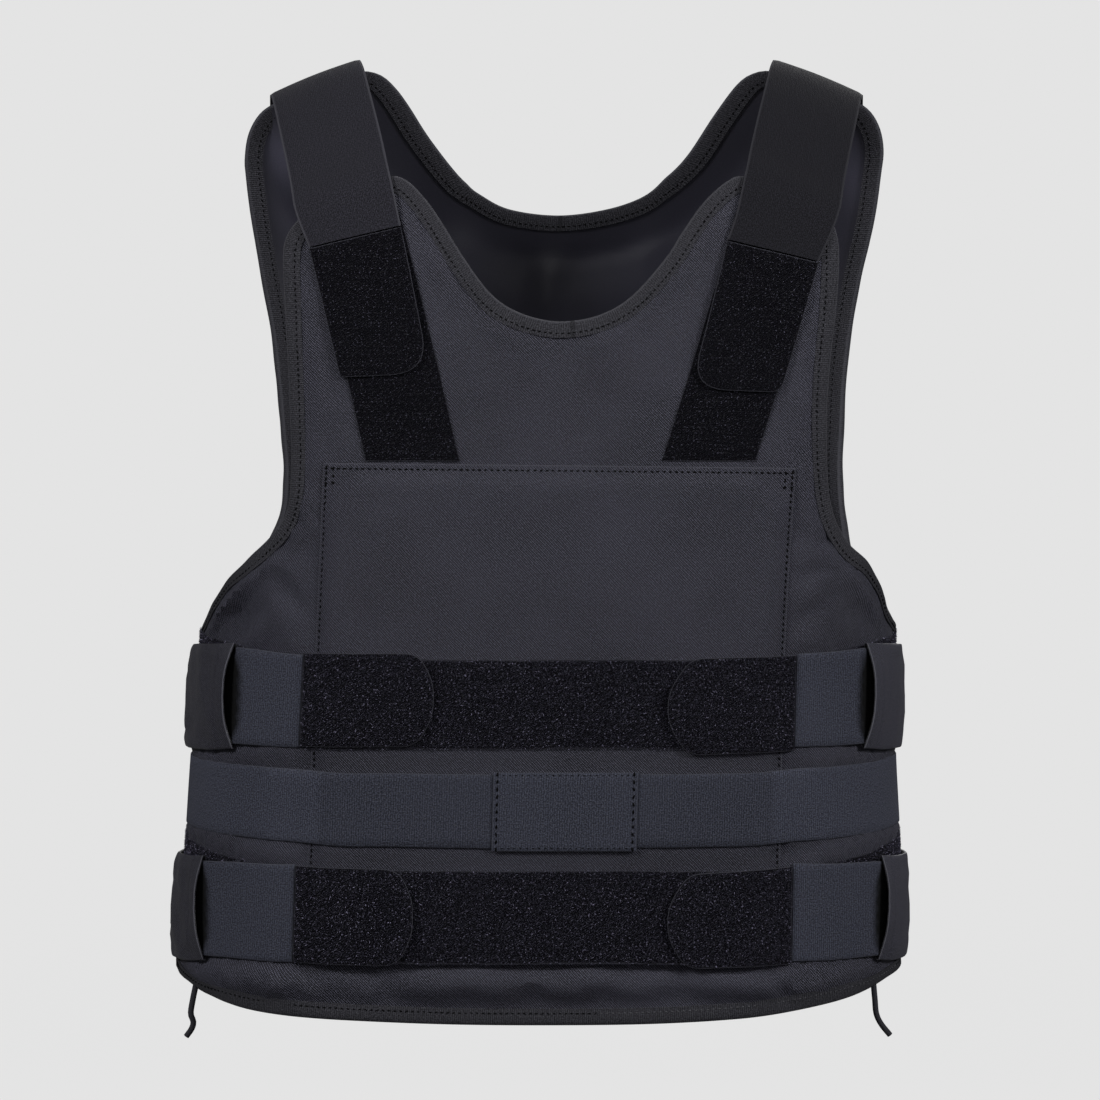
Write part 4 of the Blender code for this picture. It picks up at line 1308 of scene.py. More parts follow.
    def bind(self, wardrobe: Wardrobe) -> Object:
        """Make the tape round the edge.

        Args:
            wardrobe: The finishes.

        Returns:
            The tape.
        """
        loop, normal, narrow = self.loop, inward(self.loop), self.narrowing()
        run = np.concatenate([[0], np.cumsum(np.linalg.norm(np.diff(loop, axis=0), axis=1))])
        pucker = 0.22 * MM * np.sin(run / (5.2 * MM) + 2 * np.sin(run / (31 * MM)))
        reach, lift = np.array(self.PROFILE_MM).T * MM
        number = np.arange(len(reach))
        on_top = np.where(number <= 4, 1.0, 0.0)
        across_tape = np.where(lift > -2 * MM, reach, 30 * MM - reach)
        rim = np.where((number > 2) & (number < 10), np.abs(reach - 0.5 * MM), 8 * MM)
        parts, width, count = MeshParts(), len(reach), len(loop)
        for k in range(count):
            spots = loop[k] + normal[k] * (reach * (1 - narrow[k]))[:, None]
            lifts = lift + pucker[k] * on_top + self.folds(spots[:, 0], spots[:, 1])
            plane = np.stack([np.full(width, run[k]), across_tape], axis=1)
            # The tape's colour is darkened on the front's wings by the same share as it narrows, a painted
            # shade.
            parts.add_points(self.place(spots[:, 0], spots[:, 1], lifts), plane, rim, -narrow[k])
        for k in range(count):
            parts.bridge(k * width, (k + 1) % count * width, width, self.behind)
        piece = parts.make(self.name + "_binding", (wardrobe["edge_tape"],))
        settle(piece, Cloth.TRIM, self.name + "_binding")
        return piece

    def seam_line(self, reach: float, lift: float) -> Array:
        """Line along the binding at a distance inside its fold.

        Args:
            reach: Distance from the finished edge.
            lift: Height over the panel's outer face.

        Returns:
            The closed line's points, the first one repeated at its end.
        """
        spots = self.loop + inward(self.loop) * (reach * (1 - self.narrowing()))[:, None]
        spots = np.vstack([spots, spots[:1]])
        return self.place(spots[:, 0], spots[:, 1], lift + self.folds(spots[:, 0], spots[:, 1]))

    def sew(self, seams: "SeamWorks") -> Object:
        """Sew the binding down on both faces.

        Args:
            seams: What lays the stitches.

        Returns:
            The long rows, a plain mesh.
        """
        outer, inner = (self.seam_line(self.tape - 2.6 * MM, lift) for lift in (1.05 * MM, -5.3 * MM))
        pale = (outer[:, 2] < -0.525) & (outer[:, 0] > 20 * MM) & (not self.behind)
        first = int(np.argmax(pale)) if pale.any() else 0
        outer, pale = np.roll(outer[:-1], -first, axis=0), np.roll(pale[:-1], -first)
        count = int(pale.sum())
        if count:
            seams.sew(self.name + "_binding_pale_seam", [outer[:count + 1]], Cloth.TRIM, 3.3 * MM, 1.7 * MM,
                      0.8 * MM, "pale_thread")
        rest = np.vstack([outer[count:], outer[:1]])
        return seams.sew(self.name + "_binding_seam", [rest, inner], Cloth.TRIM, 3.3 * MM, 2.2 * MM,
                         0.9 * MM)


@dataclass
class PlatePocket:
    """The sewn pocket on the front with a plate inside it."""

    corners: Rows = (
        (-133.5, -236.2, 0), (-133.5, -497, 0), (133, -497, 0), (133, -239, 0))
    plate: Rows = (
        (-113, -245.5, 6), (-127.5, -262, 8), (-124.5, -486, 4), (123, -486, 4), (125.5, -262, 8),
        (109, -246, 6))
    cloth: float = 1.2 * MM
    relief: float = 3.0 * MM
    rise: float = 5.5 * MM

    def raised(self, across: Array, z: Array) -> Array:
        """Height of the plate under the cloth."""
        loop = dense_polygon(counter_clockwise(rounded(self.plate)), 6 * MM)
        points = np.stack([np.ravel(across), np.ravel(z)], axis=1)
        away = loop_distance(points, loop) * np.where(inside(points, loop), 1.0, -1.0)
        return (self.relief * ease(away, -self.rise * 0.8, self.rise * 0.5)).reshape(np.shape(across))

    def shade(self, _: Array, z: Array) -> Array:
        """Painted shade on the pocket's cloth beside the waist band's edges."""
        return -0.16 * sum(bump(z, edge, 9 * MM) for edge in (-458 * MM, -403 * MM))

    def build(self, wardrobe: Wardrobe) -> Object:
        """Make the pocket.

        Args:
            wardrobe: The finishes.

        Returns:
            The pocket.
        """
        outline = dense_polygon(rounded(self.corners), 3 * MM)
        # The pocket is painted darker beside the waist band, a painted shade.
        cut = SheetCut("plate_pocket", outline, even(0.3 * MM), lambda a, z: self.cloth + self.raised(a, z),
                       cell=3.5 * MM, tone=self.shade)
        piece = settle(cut.build(wardrobe["twill_cloth"]), Cloth.TWILL, "plate_pocket")
        return piece


POCKET = PlatePocket()
OVER_POCKET_MM = ((121, 4.8), (132, 1.8), (136, 1.8), (141, 0.3))


def over_pocket(across: Array, _: Array) -> Array:
    """Lift of a band that crosses the pocket."""
    return np.interp(np.abs(across), *(np.array(OVER_POCKET_MM).T * MM))


def rear_lift(across: Array, lift: Array | float) -> Array:
    """Lift that clears the front panel's side edge, then comes down to the back panel.

    Args:
        across: Distances across.
        lift: Lift on the front.

    Returns:
        The lift at each place.
    """
    step = (FORM.back_line - FORM.side_line) / 10
    past = (np.abs(across) - FORM.side_line) / step
    over = np.maximum(lift, 2.3 * MM)
    low = -FORM.inset + 0.3 * MM
    first = ease(past, 0, 1)
    second = ease(past, 2, 3)
    return (lift + (over - lift) * first) * (1 - second) + low * second


@dataclass
class LevelBand:
    """A band laid across the vest, its edges given by rows of distance across, top and bottom."""

    name: str
    rows: Rows
    start: float
    end: float
    lift: Field
    thickness: float
    wave: float = 0.0
    cell: float = 4 * MM
    tone: Field = even(0.0)

    def edges(self, across: Array) -> tuple[Array, Array]:
        """Upper and lower edge at distances across.

        Args:
            across: Distances across.

        Returns:
            Heights of the two edges.
        """
        table = np.array(self.rows) * MM
        reach = np.abs(across)
        top = np.interp(reach, table[:, 0], table[:, 1])
        low = np.interp(reach, table[:, 0], table[:, 2])
        ripple = self.wave * np.sin(across / (17 * MM)) + 0.6 * self.wave * np.sin(across / (7.3 * MM) + 1)
        return top + ripple, low + ripple * 0.7

    def outline(self) -> Array:
        """Closed outline of the band."""
        pieces = max(2, math.ceil((self.end - self.start) / (3 * MM)))
        across = np.linspace(self.start, self.end, pieces + 1)
        top, low = self.edges(across)
        upper = np.stack([across, top], axis=1)[::-1]
        lower = np.stack([across, low], axis=1)
        return dense_polygon(np.vstack([lower, upper]), 3 * MM)

    def build(self, material: Material) -> Object:
        """Make the band."""
        return SheetCut(self.name, self.outline(), self.lift, even(self.thickness), cell=self.cell,
                        edge=min(0.5 * MM, self.thickness * 0.5), tone=self.tone).build(material)


@dataclass
class PileNap:
    """Short fibres that stand on a pile face, scattered by Geometry Nodes."""

    density: float = 2.8e6
    length: float = 1.15 * MM
    width: float = 0.24 * MM
    lean: float = 0.5
    scales: tuple[float, float] = (0.55, 1.15)
    seed: int = 5

    def fibre(self) -> Object:
        """One bent fibre, as a narrow strip."""
        mesh = bpy.data.meshes.new("nap_fibre")
        half, tall = self.width / 2, self.length
        points = [(-half, 0, 0), (half, 0, 0), (half * 0.5, 0.5 * tall, 0.9 * tall),
                  (-half * 0.5, 0.5 * tall, 0.9 * tall)]
        mesh.from_pydata(points, [], [(0, 1, 2, 3)])
        return bpy.data.objects.new("nap_fibre", mesh)

    def tree(self, fibre: Object) -> NodeTree:
        """Build the scattering tree.

        Args:
            fibre: The fibre to scatter.

        Returns:
            The tree, with inputs for the density, the seed and the fibres' finish.
        """
        tools, start, end = group_of("pile_nap", [
            ("Ground", GEOMETRY, 0), ("Density", FLOAT, 0.0), ("Seed", "NodeSocketInt", 0),
            ("Finish", "NodeSocketMaterial", 0)], [("Nap", GEOMETRY)], "GeometryNodeTree")
        seed = start.outputs["Seed"]
        scatter = tools.wired("GeometryNodeDistributePointsOnFaces", {
            "Mesh": start.outputs["Ground"], "Density": start.outputs["Density"], "Seed": seed})
        info = tools.wired("GeometryNodeObjectInfo", {"Object": fibre})
        crook = tools.wired("FunctionNodeRandomValue", {
            0: (-self.lean, -self.lean, 0.0), 1: (self.lean, self.lean, 2 * math.pi), "Seed": seed},
            data_type="FLOAT_VECTOR")
        low, high = self.scales
        size = tools.wired("FunctionNodeRandomValue", {2: low, 3: high, "Seed": seed}, data_type="FLOAT")
        nap = planted(tools, scatter, crook.outputs[0], info.outputs["Geometry"], size.outputs[1],
                      start.outputs["Finish"])
        tools.link(nap, end.inputs["Nap"])
        return tools.tree


@dataclass
class NapWorks:
    """Grows pile on the outer faces of pile pieces."""

    wardrobe: Wardrobe
    nap: PileNap = field(default_factory=PileNap)
    tree: NodeTree = field(init=False)
    fibre: Object = field(init=False)

    def __post_init__(self) -> None:
        """Build the fibre and the tree once."""
        self.fibre = self.nap.fibre()
        self.tree = self.nap.tree(self.fibre)

    def grow(self, piece: Object, name: str, margin: float, finish: str = "pile_fibre"
             ) -> Object:
        """Grow the nap on a piece.

        Args:
            piece: The pile piece.
            name: The nap's name.
            margin: Bare width along the piece's edge.
            finish: The fibres' finish.

        Returns:
            The nap, a plain mesh.
        """
        ground = bpy.data.meshes.new(name + "_ground")
        nearness = np.zeros(len(piece.data.vertices), np.float32)
        piece.data.attributes["edge"].data.foreach_get("value", nearness)
        points = np.array([v.co for v in piece.data.vertices])
        top = self.outer_faces(piece, points)
        limit = MM / (MM + margin)
        faces = [tuple(p.vertices) for p in piece.data.polygons
                 if p.index in top and all(nearness[i] <= limit for i in p.vertices)]
        used = sorted({i for f in faces for i in f})
        number = {i: k for k, i in enumerate(used)}
        ground.from_pydata(points[used].tolist(), [], [tuple(number[i] for i in f) for f in faces])
        carrier = grown(name, ground, self.tree, {
            "Density": self.nap.density, "Seed": self.nap.seed, "Finish": self.wardrobe[finish]})
        mesh = carrier.data
        layer = mesh.uv_layers.get("cloth") or mesh.uv_layers.new(name="cloth")
        places = np.zeros(len(mesh.vertices) * 3, np.float32)
        mesh.vertices.foreach_get("co", places)
        places = places.reshape(-1, 3)
        corners = np.zeros(len(mesh.loops), np.int32)
        mesh.loops.foreach_get("vertex_index", corners)
        layer.data.foreach_set("uv", places[corners][:, [0, 2]].astype(np.float32).ravel())
        return settle(carrier, Cloth.PILE)

    @staticmethod
    def outer_faces(piece: Object, points: Array) -> set[int]:
        """Numbers of the faces that look away from the torso.

        Args:
            piece: The pile piece.
            points: Its vertices.

        Returns:
            The faces' numbers.
        """
        outer = set()
        for face in piece.data.polygons:
            middle = points[list(face.vertices)].mean(axis=0)
            if face.normal.x * middle[0] * 0.3 + face.normal.y * middle[1] > 0.01:
                outer.add(face.index)
        return outer


@dataclass
class SeamWorks:
    """Rows of stitches along lines on the vest, laid by Geometry Nodes."""

    wardrobe: Wardrobe
    tree: NodeTree = field(init=False)

    def __post_init__(self) -> None:
        """Build the tree once."""
        self.tree = self.stitch_tree()

    @staticmethod
    def stitch_tree(crook: float = 0.42, seed: int = 3) -> NodeTree:
        """Build the tree that lays stitches along a curve.

        Args:
            crook: Largest angle that a stitch is askew.
            seed: Seed of those angles.

        Returns:
            The tree, with inputs for the stitches' pitch, length, thickness and thread.
        """
        tools, start, end = group_of("stitch_row", [
            ("Line", GEOMETRY, 0), ("Pitch", FLOAT, 0.0), ("Length", FLOAT, 0.0), ("Thickness", FLOAT, 0.0),
            ("Thread", "NodeSocketMaterial", 0)], [("Row", GEOMETRY)], "GeometryNodeTree")
        line = tools.wired("GeometryNodeMeshToCurve", {0: start.outputs["Line"]})
        spots = tools.wired("GeometryNodeCurveToPoints", {
            "Curve": line.outputs[0], "Length": start.outputs["Pitch"]}, mode="LENGTH")
        ball = tools.wired("GeometryNodeMeshIcoSphere", {"Radius": 0.5, "Subdivisions": 1})
        thick = start.outputs["Thickness"]
        size = tools.wired("ShaderNodeCombineXYZ", {"X": thick, "Y": thick, "Z": start.outputs["Length"]})
        askew = tools.wired("FunctionNodeRandomValue", {
            0: (-crook, -crook, 0.0), 1: (crook, crook, 0.0), "Seed": seed}, data_type="FLOAT_VECTOR")
        row = planted(tools, spots, askew.outputs[0], ball.outputs[0], size.outputs[0],
                      start.outputs["Thread"])
        tools.link(row, end.inputs["Row"])
        return tools.tree

    def sew(self, name: str, lines: Sequence[Array], slot: Cloth, pitch: float, length: float,
            thickness: float, thread: str = "thread") -> Object:
        """Sew rows of stitches.

        Args:
            name: The piece's name.
            lines: Points of each row.
            slot: The record's slot.
            pitch: Spacing of the stitches.
            length: Length of one.
            thickness: Thickness of the thread.
            thread: The thread's finish.

        Returns:
            The rows, a plain mesh.
        """
        mesh = bpy.data.meshes.new(name + "_lines")
        points, edges = [], []
        for line in lines:
            first = len(points)
            points += [tuple(p) for p in line]
            edges += [(first + k, first + k + 1) for k in range(len(line) - 1)]
        mesh.from_pydata(points, edges, [])
        carrier = grown(name, mesh, self.tree, {
            "Pitch": pitch, "Length": length, "Thickness": thickness, "Thread": self.wardrobe[thread]})
        carrier.data.shade_smooth()
        return settle(carrier, slot)


@dataclass
class FrontBands:
    """The loop strips, the waist band and its patch across the front."""

    upper: Rows = (
        (0, -346, -396.3), (140, -346, -396.3), (193.5, -338.8, -389.3), (264, -330.5, -384.5))
    lower: Rows = (
        (0, -464, -516.5), (140, -464, -516.5), (193.5, -458, -510.5), (282, -445.5, -503.5))
    waist: Rows = (
        (0, -410.5, -452), (110, -409.5, -450.5), (142, -407.5, -448.5), (272, -403.6, -443.5),
        (350.6, -401.5, -441))
    patch: tuple[float, float, float, float] = (-30 * MM, 51 * MM, -409 * MM, -453 * MM)

    @staticmethod
    def waist_tone(across: Array, _: Array) -> Array:
        """Paler tone of the waist band where it is stretched, beside the pocket."""
        return 0.22 * ease(np.abs(across), 126 * MM, 127.5 * MM) - 0.06

    def build(self, wardrobe: Wardrobe, naps: NapWorks) -> None:
        """Make the bands.

        Args:
            wardrobe: The finishes.
            naps: What grows the pile.
        """
        for name, rows in (("upper_loop_strip", self.upper), ("lower_loop_strip", self.lower)):
            end = rows[-1][0] * MM
            band = LevelBand(name, rows, -end, end, over_pocket, 0.5 * MM, wave=0.15 * MM)
            piece = settle(band.build(wardrobe["pile_ground"]), Cloth.PILE, name)
            nap = naps.grow(piece, name + "_nap", 0.0, "pale_pile_fibre")
        end = self.waist[-1][0] * MM
        band = LevelBand("waist_band", self.waist, -end, end, lambda a, z: rear_lift(a, over_pocket(a, z)),
                         1.2 * MM, wave=0.15 * MM, tone=self.waist_tone)
        piece = settle(band.build(wardrobe["elastic_tape"]), Cloth.ELASTIC, "waist_band")
        left, right, top, low = self.patch
        outline = dense_polygon(np.array([(left, low), (right, low), (right, top), (left, top)]), 3 * MM)
        cut = SheetCut("band_patch", outline, lambda a, z: over_pocket(a, z) + 1.5 * MM, even(1.0 * MM))
        piece = settle(cut.build(wardrobe["elastic_tape"]), Cloth.ELASTIC, "band_patch")


@dataclass
class FrontStitches:
    """Stitch rows of the pocket and the patch."""

    side_rows: tuple[float, ...] = (-131.4 * MM, 131.0 * MM)
    bar: float = 9 * MM

    @staticmethod
    def row(start: tuple[float, float], end: tuple[float, float], lift: Field) -> Array:
        """Straight row in the plane, laid on the vest.

        Args:
            start: Distance across and height of its start.
            end: Distance across and height of its end.
            lift: Height over the outer face at each place.

        Returns:
            The row's points.
        """
        t = np.linspace(0, 1, max(3, math.ceil(math.dist(start, end) / (2 * MM))))
        a = start[0] + (end[0] - start[0]) * t
        z = start[1] + (end[1] - start[1]) * t
        return FORM.point(a, z, lift(a, z) + FOLDS(a, z))

    def build(self, seams: SeamWorks) -> None:
        """Sew every row."""
        self.sew_pocket(seams)
        self.sew_patch(seams)

    def sew_pocket(self, seams: SeamWorks) -> None:
        """Sew the pocket's top and sides.

        Args:
            seams: What lays the stitches.
        """
        def lift(a: Array, z: Array) -> Array:
            """On the pocket's cloth."""
            return 1.55 * MM + POCKET.raised(a, z)

        left, right = self.side_rows
        lines = [self.row((left, -239.4 * MM), (right, -242.0 * MM), lift)]
        for place, top in ((left, -238.5 * MM), (right, -241.0 * MM)):
            lines.append(self.row((place, top), (place, -494 * MM), lift))
            within = place - math.copysign(4.2 * MM, place)
            lines.append(self.row((within, top - 1 * MM), (within, top - self.bar), lift))
            lines.append(self.row((place, top - self.bar), (within, top - self.bar), lift))
        seams.sew("plate_pocket_seam", lines, Cloth.TWILL, 3.4 * MM, 2.5 * MM, 1.2 * MM)

    def sew_patch(self, seams: SeamWorks) -> None:
        """Sew the patch down along its four sides.

        Args:
            seams: What lays the stitches.
        """
        def lift(a: Array, z: Array) -> Array:
            """On the patch."""
            return over_pocket(a, z) + 2.5 * MM

        left, right, top, low = FrontBands().patch
        inset = 2.4 * MM
        ends, levels = (left + inset, right - inset), (top - inset * 0.7, low + inset * 0.7)
        sides = [self.row((x, low + 1 * MM), (x, top - 1 * MM), lift) for x in ends]
        rows = [self.row((ends[0], z), (ends[1], z), lift) for z in levels]
        seams.sew("band_patch_seam", sides, Cloth.ELASTIC, 3.9 * MM, 2.8 * MM, 1.3 * MM)
        seams.sew("band_patch_row_seam", rows, Cloth.ELASTIC, 3.4 * MM, 1.8 * MM, 0.6 * MM)


@dataclass
class SideFastening:
    """A side strap with its tab and the sleeve that it slides in."""

    level: str
    side: Side
    strap: Rows
    sleeve: Rows
    tab: tuple[float, float, float, float, float, float, float]
    lean: float = 0.0
    tip_rise: float = 1.6 * MM
    # How far the painted shadow of the sleeve's mouth reaches along the strap at mid height.
    gape: float = 7.4 * MM
    mouth_set_back: float = 6.0 * MM
    wall: float = 1.0 * MM
    half_height: float = 1.9 * MM
    seam_at: float = 9.5 * MM
    seam_groove: float = 0.45 * MM
    # Painted shade: share of colour taken off inside the sleeve, and off its outer shell's back wall.
    inner_shade: float = -0.96
    rear_shade: float = -0.6

    SLEEVES: ClassVar[dict[Side, tuple[str, float]]] = {
        Side.LEFT: ("shiny_sleeve_cloth", 0.6), Side.RIGHT: ("matt_sleeve_cloth", 0.35)}

    def build(self, wardrobe: Wardrobe, naps: NapWorks) -> None:
        """Make the three pieces."""
        self.build_tab(wardrobe, naps)
        self.build_strap(wardrobe)
        self.build_sleeve(wardrobe)

    def build_tab(self, wardrobe: Wardrobe, naps: NapWorks) -> None:
        """Make the pile tab.

        Args:
            wardrobe: The finishes.
            naps: What grows the pile.
        """
        seam, tip, top_seam, low_seam, top_tip, low_tip, bulge = self.tab
        back, middle = tip + self.side.value * bulge, (top_tip + low_tip) / 2
        rows = ((seam, top_seam, 0), (back, top_tip, 14), (tip, middle + 9, 30), (tip, middle - 9, 30),
                (back, low_tip, 14), (seam, low_seam, 0))
        outline = dense_polygon(counter_clockwise(rounded(rows)), 2.5 * MM)
        name = f"{self.level}_side_tab_{self.side.word}"
        tip_line = abs(tip) * MM

        def lift(across: Array, z: Array) -> Array:
            """On the loop strip, its tip standing off a little."""
            off = self.tip_rise * (1 - ease(np.abs(across), tip_line, tip_line + 22 * MM))
            return over_pocket(across, z) + 1.3 * MM + off

        cut = SheetCut(name, outline, lift, even(1.1 * MM), cell=3.5 * MM)
        piece = settle(cut.build(wardrobe["pile_ground"]), Cloth.PILE, name)
        nap = naps.grow(piece, name + "_nap", 0.35 * MM, "pale_pile_fibre")

    def build_strap(self, wardrobe: Wardrobe) -> None:
        """Make the elastic strap.

        Args:
            wardrobe: The finishes.
        """
        first, last = self.strap[0][0] * MM + 0.4 * MM, self.strap[-1][0] * MM
        start, end = sorted((self.side.value * first, self.side.value * last))
        mouth = self.strap[1][0] * MM

        def lift(across: Array, _: Array) -> Array:
            """On the loop strip, then up into the sleeve."""
            rise = ease(np.abs(across), mouth - 26 * MM, mouth + 2 * MM)
            return rear_lift(across, 1.6 * MM + 1.9 * MM * rise)

        top, low = self.strap[1][1:]
        middle, tall = (top + low) / 2 * MM, (top - low) / 2 * MM

        def in_mouth(across: Array, z: Array) -> Array:
            """How deep in the sleeve's shade the strap is."""
            gape = self.gape * (1 - np.clip(np.abs(z - middle) / tall, 0, 1) ** 4)
            lean = self.lean * MM * (middle - z) / tall
            return ease(np.abs(across) + gape + lean, mouth + 0.4 * MM, mouth + 5.0 * MM)

        name = f"{self.level}_side_strap_{self.side.word}"
        # Painted shadow: the strap is coloured darker where it runs into the sleeve's mouth.
        band = LevelBand(name, self.strap, start, end, lift, 1.2 * MM, wave=0.25 * MM,
                         tone=lambda a, z: 0.05 - 1.03 * in_mouth(a, z))
        piece = settle(band.build(wardrobe["elastic_tape"]), Cloth.ELASTIC, name)
        f"{self.level}_side_tab_{self.side.word}"

    def build_sleeve(self, wardrobe: Wardrobe) -> None:
        """Make the cloth sleeve as a flat tube with two walls.

        Args:
            wardrobe: The finishes.
        """
        table = np.array(self.sleeve) * MM
        first, last = table[0, 0], table[-1, 0]
        stations = first + (last - first) * np.linspace(0, 1, 56) ** 1.15
        around = np.linspace(0, 1, 49)[:-1]
        ring = len(around)
        wall, half = self.wall, self.half_height
        seed = 31 + len(self.level) + self.side.value
        noise, fine = WaveNoise(seed, 34 * MM), WaveNoise(seed + 50, 15 * MM)
        facing = min(1.1, (first - FORM.front_flat) / FORM.front_round)
        recess = table[0, 3] * math.tan(facing) - self.mouth_set_back
        is_left = self.side is Side.LEFT
        finish, creased = self.SLEEVES[self.side]
        turn = 2 * math.pi * around
        height = np.sign(np.cos(turn)) * np.abs(np.cos(turn)) ** 0.55
        out = np.sign(np.sin(turn)) * np.abs(np.sin(turn)) ** 0.55
        front = np.clip(out, 0, 1)
        parts = MeshParts()
        for shell in (0, 1):
            for station in stations:
                top, low, open_by = (float(np.interp(station, table[:, 0], table[:, k])) for k in (1, 2, 3))
                base = float(rear_lift(np.array(station), 2.3 * MM))
                tall = (top - low) / 2
                z = (top + low) / 2 + tall * height * (1 - shell * wall / tall * 0.9)
                swell = 1 + front * (open_by / half) * (1 - np.abs(height) ** 2.2)
                slant = station - 0.55 * (z - z.mean())
                wrinkle = noise(slant, z * 0.5) * 1.3 + fine(slant * 0.6, z * 1.3) * 0.8
                wrinkle = wrinkle * MM * front * creased
                lift = base + half + half * out * swell + wrinkle * ease(station - first, 2 * MM, 14 * MM)
                lift = lift - self.seam_groove * front * bump(station - first, self.seam_at, 2.5 * MM)
                lift = lift - shell * wall * np.sign(out) * np.abs(out) ** 0.4
                near_mouth = 1 - ease(station - first, 0.0, 26 * MM)
                across = station - recess * near_mouth * front * (1 - np.abs(height) ** 3)
                across = across + self.lean * MM * height * near_mouth
                places = FORM.point(self.side.value * across, z, lift)
                plane = np.stack([self.side.value * across, z], axis=1)
                # Painted shade inside the sleeve and on its back wall against the vest.
                dark = self.inner_shade if shell else np.where(out < 0, self.rear_shade, 0.0)
                parts.add_points(places, plane, np.full(ring, abs(station - first) + 0.01 * shell), dark)
        count = len(stations)
        for shell in (False, True):
            for k in range(count - 1):
                base = (shell * count + k) * ring
                parts.bridge(base, base + ring, ring, shell != is_left)
        for end, turned in ((0, is_left), (count - 1, not is_left)):
            parts.bridge(end * ring, (count + end) * ring, ring, turned)
        name = f"{self.level}_sleeve_{self.side.word}"
        piece = parts.make(name, (wardrobe[finish],))
        recalculate(piece)
        settle(piece, Cloth.TWILL, name)


def recalculate(piece: Object) -> None:
    """Point a closed piece's faces outwards.

    Args:
        piece: The piece, changed in place.
    """
    work = bmesh.new()
    work.from_mesh(piece.data)
    bmesh.ops.recalc_face_normals(work, faces=work.faces[:])
    if work.calc_volume(signed=True) < 0:
        bmesh.ops.reverse_faces(work, faces=work.faces[:])
    work.to_mesh(piece.data)
    work.free()


FASTENINGS = (
    SideFastening(
        "upper", Side.LEFT,
        ((140, -343.5, -395.5), (187, -340.3, -394.8), (225, -342.5, -396.6), (291, -343.5, -397.2)),
        ((187, -337.6, -397.4, 5.6), (209, -338.4, -399.2, 2.2),
         (272, -340.4, -400.4, 0), (350.6, -341, -400.4, 0)),
        (-140, -64.4, -342.6, -395.0, -342.6, -394.8, 9), 2.0),
    SideFastening(
        "upper", Side.RIGHT,
        ((140, -343.5, -395.5), (191.5, -340.3, -394.8), (225, -342.5, -396.6), (291, -343.5, -397.2)),
        ((191.5, -337.6, -397.4, 5.2), (212, -338.4, -399.2, 2.0),
         (272, -340.4, -400.4, 0), (350.6, -341, -400.4, 0)),
        (140, 66.0, -343.8, -397.3, -345.5, -399.6, 12), 0.6),
    SideFastening(
        "lower", Side.LEFT,
        ((140, -460.8, -516), (203.5, -462.2, -516.2), (240, -465.3, -518.8), (291, -465.8, -519.6)),
        ((203.5, -459.4, -518.8, 5.4), (222, -460.8, -521.2, 2.2),
         (272, -462.6, -522.6, 0), (350.6, -463, -522.6, 0)),
        (-140, -73.0, -461.6, -516.0, -463.2, -517.6, 8), 3.0),
    SideFastening(
        "lower", Side.RIGHT,
        ((140, -460.8, -516), (204.5, -462.2, -516.2), (240, -465.3, -518.8), (291, -465.8, -519.6)),
        ((204.5, -459.4, -518.8, 5.2), (222, -460.8, -521.2, 2.0),
         (272, -462.6, -522.6, 0), (350.6, -463, -522.6, 0)),
        (140, 69.0, -462.0, -517.0, -466.0, -519.0, 11), 1.6),
)


